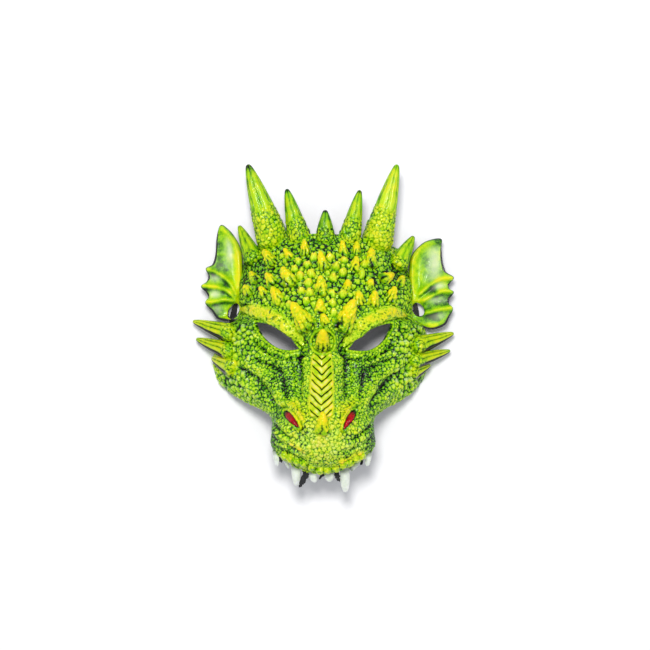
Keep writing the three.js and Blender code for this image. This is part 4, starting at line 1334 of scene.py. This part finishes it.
def make_nose_horn():
    """The short horn between the eyes, grooved and pitted at its foot, in a ring-shaped collar."""
    surface = float(face_height(*COLLAR_CENTRE))
    tip = np.array([0, NOSE_HORN_TIP_Y, surface + NOSE_HORN_RISE])
    root = np.array([0, NOSE_HORN_ROOT_Y, surface - 1])
    grid, t, angle = taper_grid(root, tip, NOSE_HORN_RADIUS, 46, 60, NOSE_HORN_TAPER)
    groove = np.abs(np.sin(3.5 * angle + 0.6 * np.sin(2 * angle))) ** 0.55
    low = 1 - smooth_step(t, 0.25, 0.6)
    lumps = noise_at(grid, 3, 17)
    pits = smooth_step(noise_at(grid, 1.6, 29), 0.12, 0.35) * (0.3 + 0.7 * low)
    grid = pushed_out(grid, (groove - 0.7) * 1.2 * low + 0.5 * lumps * tip_fade(t) - 0.3 * pits)
    values = {
        "height": np.clip(0.85 - (1 - groove) * low * 0.8 - 0.5 * pits + 0.2 * lumps, 0, 1),
        "yellow": 0.35 + 0.6 * smooth_step(t, 0.15, 0.6),
        "shade": 0.35 * (1 - smooth_step(t, 0.05, 0.3)),
    }
    closed_taper("nose_horn_spike", keep_in_wall(grid), values, HORN_PAINT, "nose_horn")
    outline = ellipse(*COLLAR_CENTRE, COLLAR_RADIUS, COLLAR_RADIUS, 0, 120)
    line = on_face(*outline.T, 0.3)
    points, faces = band(line, outline_normals(outline), COLLAR[:, :2])
    lumps = noise_at(points, 1.6, 18)
    values = {"height": np.tile(COLLAR[:, 2], len(line)) + 0.3 * lumps, "yellow": 0.1 + 0.3 * lumps}
    points = points + UP * 0.3 * lumps[:, None]
    make_piece("nose_horn_collar", points, faces, values, HORN_PAINT)


def make_nostril(side):
    """A glossy red almond, rounder at its upper end, with a raised lid round it."""
    node = f"nostril_{side}"
    path, width, depth = NOSTRIL_PITS[0] if side == "left" else NOSTRIL_PITS[1]
    upper, lower = np.array(path, float)
    centre = (upper + lower) / 2
    along = unit(upper - lower)
    across = np.array([-along[1], along[0]])

    def almond(t, angle, half_length, half_width):
        u = t * np.cos(angle) * half_length
        v = t * np.sin(angle) * half_width * (1 + 0.35 * np.cos(angle))
        return centre + along * u[..., None] + across * v[..., None]

    t = np.linspace(0, 1, 26)[:, None]
    angle = np.linspace(0, 2 * np.pi, 56, endpoint=False)[None, :]
    xy = almond(t, angle, *LENS_SIZE)
    flat = on_face(xy[..., 0], xy[..., 1], 0.3 * ridge(xy, path, width, depth))
    rise = LENS_RISE * (np.sqrt(np.clip(1 - t**2, 0, 1)) - 1) + 0.35 * noise_at(flat, 2.5, 19)
    # painted shadow of the lid along the lens's rim and at its upper end
    shade = 0.8 * smooth_step(t, 0.8, 1.0) + smooth_step(t * np.cos(angle), 0.5, 0.95)
    closed_taper(node + "_lens", (flat + UP * rise[..., None])[::-1], {"shade": shade[::-1]}, RED_GLOSS,
                 node)
    around = np.linspace(0, 2 * np.pi, 90, endpoint=False)
    outline = almond(1.0, around, *LID_SIZE)
    outward = outline_normals(outline)
    swell = np.clip(0.55 - 0.6 * outward[:, :1] * np.sign(centre[0]), 0.1, 1.1)
    line = on_face(*outline.T, -0.4) - UP * (1.8 * (1 - swell))
    points, faces = band(line, outward, LID[:, :2], swell=swell)
    lumps = noise_at(points, 2.2, 20)
    brushed = np.repeat(swell[:, 0], len(LID))
    values = {"height": np.tile(LID[:, 2], len(line)) + 0.35 * lumps,
              "yellow": 0.7 * brushed - 0.15 + 0.4 * lumps,
              "shade": np.tile(LID[:, 3], len(line)) + 0.4 * (1 - brushed)}
    points = points + UP * 0.6 * lumps[:, None]
    make_piece(node + "_lid", points, faces, values, HORN_PAINT)


# ---------- torn lining ----------

# Torn strips of the bare lining that hang between the teeth: path, width at the start.
LIP_STRIPS = [
    ([(-15.5, -118, 60), (-14.5, -126, 62), (-17.5, -133, 62), (-21, -140, 60)], 6.0),
    ([(1.5, -121, 62), (-0.5, -128, 62), (-3.5, -133, 60)], 4.2),
    ([(9.5, -120, 62), (11.5, -127, 62), (14.5, -135, 60)], 5.2),
    ([(23.5, -114, 60), (25, -121, 59), (26, -125, 58)], 3.6),
    ([(-41, -104, 48), (-38.5, -113, 50), (-36.5, -119, 50)], 4.2),
    ([(33, -108, 54), (34.5, -116, 54), (33.5, -121, 53)], 3.4),
    ([(40, -104, 50), (40.5, -112, 51), (42, -118, 50)], 3.4),
]


def make_lip_strip(number, path, width):
    """A thin ragged strip of foam lining."""
    line = resample(spline(path, 10), 60)
    t = np.linspace(0, 1, len(line))
    rough = noise_at(line, 1.5, 30 + number)
    side_step = noise_at(line, 2.4, 50 + number)
    half = width / 2 * (1 - 0.45 * t) * (1 + 0.8 * rough)
    half = np.clip(half, 0.35, 4) * np.sqrt(np.clip((1 - t) * 9, 0.01, 1))
    line = line + np.column_stack([1.0 * side_step, 0 * t, 0.5 * rough])
    grid, t, _ = sweep(line, half, np.full(len(line), 0.45), 28)
    torn = noise_at(grid, 0.9, 60 + number)
    closed_taper(f"lip_strip_{number}", pushed_out(grid, 0.5 * torn), {}, FOAM)


# ---------- fins ----------


def make_fin(side):
    """A ribbed fin: sagging membranes between ribs that fan out from above the strap hole."""
    spec = FINS[side]
    outline = spline(spec["outline"], 6, closed=True)
    low, high = outline.min(axis=0) - 1, outline.max(axis=0) + 1
    x, y = np.meshgrid(np.arange(low[0], high[0], FIN_STEP), np.arange(low[1], high[1], FIN_STEP))
    xy = np.stack([x, y], axis=-1)
    flat = np.stack([x, y, 0 * x], axis=-1)
    from_hole = outline_distance(xy, ellipse(*spec["hole"]))
    distance = np.minimum(0.6 - outline_distance(xy, outline), from_hole)
    out = np.maximum(np.abs(x) - abs(spec["hole"][0]) + 3, 0)
    level = FIN_BASE_Z + FIN_RISE * out + FIN_THICKNESS / 2
    ribs = np.maximum.reduce([ridge(xy, path, 2.2, 1.0, 0.02) for path in spec["ribs"]])
    leading = ridge(xy, spec["leading"], 3.4, 1.0, 0.02)
    inner = ridge(xy, spec["inner"], 3.0, 0.5, 0.4)
    hem = ridge(xy, spec["hem"], 1.2, 0.5, 0.1)
    # painted shadow just below each rib
    rib_shadows = sum(ridge(xy + [0, 3.0], path, 1.7, 1.0, 0.05) for path in spec["ribs"])
    root = np.exp(-(np.linalg.norm(xy - np.array(spec["rib_root"]), axis=-1) / 8) ** 2)
    raised = np.maximum.reduce([ribs, leading, hem, 0.7 * root])
    sag = 1 - np.maximum.reduce([ridge(xy, path, 5.0, 1.0, 0.02)
                                 for path in spec["ribs"] + [spec["leading"]]])
    edge_drop = 1.2 * (1 - smooth_step(distance, 0, 1.8))
    soft = noise_at(flat, 12, 21)
    fine = noise_at(flat, 3, 22)
    relief = 2.2 * ribs + 2.0 * leading + 0.9 * inner + 0.7 * hem + 1.2 * root - 1.3 * sag
    z = level + relief - 0.9 - edge_drop + 0.12 * fine + 0.3 * soft
    dark = spots(x, y, spec["dark"])
    between_ribs = (1 - 0.9 * np.clip(raised * 1.4, 0, 1)) * (0.8 + 0.5 * soft)
    values = {
        "height": np.clip(0.52 + 0.42 * raised + 0.2 * fine + 0.5 * soft
                          - 0.15 * (1 - smooth_step(distance, 0, 1.0)), 0, 1),
        "yellow": 0.5 * np.maximum(raised - 0.2, 0) - 0.1 + 0.35 * soft - 0.5 * dark,
        "shade": dark + 0.55 * rib_shadows,
        # pale: painted sheen on the membranes between the ribs
        "pale": np.clip(spots(x, y, spec["pale"]) * between_ribs, 0, 0.85),
        "bare": np.zeros(x.shape),
    }
    placed, faces = cut_sheet(np.stack([x, y, z], axis=-1), distance)
    back = placed.copy()
    back[..., 2] = level - FIN_THICKNESS
    middle = placed[..., :2].reshape(-1, 2).mean(axis=0)
    flare = 1.0 * (1 - smooth_step(distance, 0, 2.0)) * (from_hole > 3)
    back[..., :2] += unit(placed[..., :2] - middle) * flare[..., None]
    points, faces = thicken(placed.reshape(-1, 3), faces, back.reshape(-1, 3))
    values = {k: np.concatenate([np.ravel(v), np.full(v.size, float(k == "bare"))])
              for k, v in values.items()}
    make_piece(f"ear_fin_{side}_ribbed", points, faces, values, FIN_PAINT,
               f"ear_fin_{side}", sharp_angle=50)


# ---------- strap ----------


def make_strap():
    """Flat elastic on edge, leaning over beside the holes, with woven ribs along it."""
    path = resample(spline(STRAP_ROUTE, 12), 640)
    t = np.linspace(0, 1, len(path))
    tangent = unit(np.gradient(path, axis=0))
    side = np.column_stack([tangent[:, 1], -tangent[:, 0], 0 * t])
    lean = STRAP_LEAN * (np.exp(-((t - 0.09) / 0.05) ** 2) - np.exp(-((t - 0.91) / 0.05) ** 2))
    sine, cosine = np.sin(lean)[:, None], np.cos(lean)[:, None]
    up = UP * cosine - side * sine
    flat = side * cosine + UP * sine
    v = np.linspace(-1, 1, 23)
    ribs = STRAP_THICKNESS / 2 * (0.82 + 0.18 * np.cos(v * np.pi * 7)) * np.sqrt(np.clip(1.02 - v**6, 0, 1))
    half = np.column_stack([v * (STRAP_HEIGHT / 2 - 0.05), ribs])
    section = np.vstack([half, (half * [1, -1])[::-1]])
    weft = 1 + 0.08 * np.sin(np.arange(len(path)) * 1.7)
    middle = np.column_stack([path, np.full(len(path), STRAP_HEIGHT / 2)])
    grid = np.stack([middle + up * s + flat * (b * weft)[:, None] for s, b in section], axis=1)
    grid[..., 2] = np.maximum(grid[..., 2], 0.0)
    rings, sectors = grid.shape[:2]
    points = np.vstack([grid.reshape(-1, 3), grid[0].mean(axis=0), grid[-1].mean(axis=0)])
    corners = np.arange(sectors)
    first = fan(rings * sectors, corners)
    last = flipped(fan(rings * sectors + 1, (rings - 1) * sectors + corners))
    faces = np.vstack([grid_faces(rings, sectors, closed=True), first, last])
    make_piece("head_strap_elastic", points, faces, {}, WOVEN, "head_strap",
               body="strap", sharp_angle=80)


def make_anchor(side):
    """A round fabric pad that holds one end of the strap, worked out from its CAD node's box."""
    node = f"strap_anchor_{side}"
    low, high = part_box(node)
    sign = -1 if side == "left" else 1
    inner, outer = (high.x / MM, low.x / MM) if side == "left" else (low.x / MM, high.x / MM)
    centre = np.array([(low.y + high.y) / 2, (low.z + high.z) / 2]) / MM
    radius = (high.y - low.y) / 2 / MM
    angle = np.linspace(0, 2 * np.pi, 48, endpoint=False)
    profile = [(0.96, outer), (1.0, inner + sign * 0.5), (0.93, inner + sign * 0.05),
               (0.8, inner + sign * 0.3), (0.72, inner + sign * 0.05), (0.2, inner), (0.01, inner)]
    grid = np.stack([np.column_stack([np.full(len(angle), x),
                                      centre[0] + radius * share * np.cos(angle),
                                      np.maximum(centre[1] + 0.8 * radius * share * np.sin(angle), 0.1)])
                     for share, x in profile])
    closed_taper(node + "_pad", grid, {}, WOVEN, node)


# ---------- everything ----------


def make_all():
    make_skin()
    make_lining()
    make_lip_scales()
    for side in ("left", "right"):
        make_eye_rim(side)
        make_brow(side)
        make_nostril(side)
        make_fin(side)
        make_anchor(side)
    make_bridge_plate()
    make_nose_horn()
    rng = np.random.default_rng(HORN_SEED)
    for node, place in HORNS.items():
        make_horn(node, place, rng, *(TEMPLE_STYLE if node.startswith("temple") else CROWN_STYLE))
    for node, place in CHEEK_SPIKES.items():
        make_horn(node, place, rng, *CHEEK_STYLE, wedge=-1 if node.endswith("left") else 1)
    for node, (tip, root, width) in SPIKES.items():
        make_spike(node, tip, root, width, rng)
    for node in TEETH:
        make_tooth(node, rng)
    for number, (path, width) in enumerate(LIP_STRIPS, 1):
        make_lip_strip(number, path, width)
    make_strap()


# ---------- floor, light and camera ----------

# In metres and watts. Lights: name, place, width, power, colour.
CAMERA_PLACE = (0.0018, 0.0031, 2.05)
FOCAL_LENGTH = 125
FLOOR_SIZE = 8
FLOOR_LEVEL = -0.0002  # a little below the mask's lowest points
LIGHTS = [("key", (-0.06, 0.38, 1.71), 0.36, 20, (1, 0.99, 0.97)),
          ("top", (0, 0, 1.9), 1.8, 4, (1, 1, 1))]
WORLD_COLOUR = (0.94, 0.96, 1, 1)
WORLD_STRENGTH = 0.5


def make_stage():
    bpy.ops.mesh.primitive_plane_add(size=FLOOR_SIZE, location=(0, 0, FLOOR_LEVEL))
    floor = bpy.context.object
    floor.name = "floor"
    floor.data.materials.append(FLOOR)


def make_light(name, place, width, power, colour):
    """A round lamp that looks at the middle of the mask."""
    data = bpy.data.lights.new(name, "AREA")
    data.shape = "DISK"
    data.size = width
    data.energy = power
    data.color = colour
    light = new_object(name, data)
    light.location = place
    toward = -np.array(place, float)
    light.rotation_euler = (math.atan2(math.hypot(toward[0], toward[1]), -toward[2]), 0,
                            math.atan2(toward[1], toward[0]) - math.pi / 2)


def make_world():
    world = bpy.data.worlds.new("studio")
    bpy.context.scene.world = world
    world.use_nodes = True
    background = world.node_tree.nodes["Background"]
    background.inputs["Color"].default_value = WORLD_COLOUR
    background.inputs["Strength"].default_value = WORLD_STRENGTH


def make_camera():
    data = bpy.data.cameras.new("camera")
    data.lens = FOCAL_LENGTH
    data.clip_end = 20
    camera = new_object("camera", data)
    camera.location = CAMERA_PLACE
    bpy.context.scene.camera = camera


make_camera()
make_stage()
for lamp in LIGHTS:
    make_light(*lamp)
make_world()
bpy.context.scene.view_settings.view_transform = "Standard"
make_all()
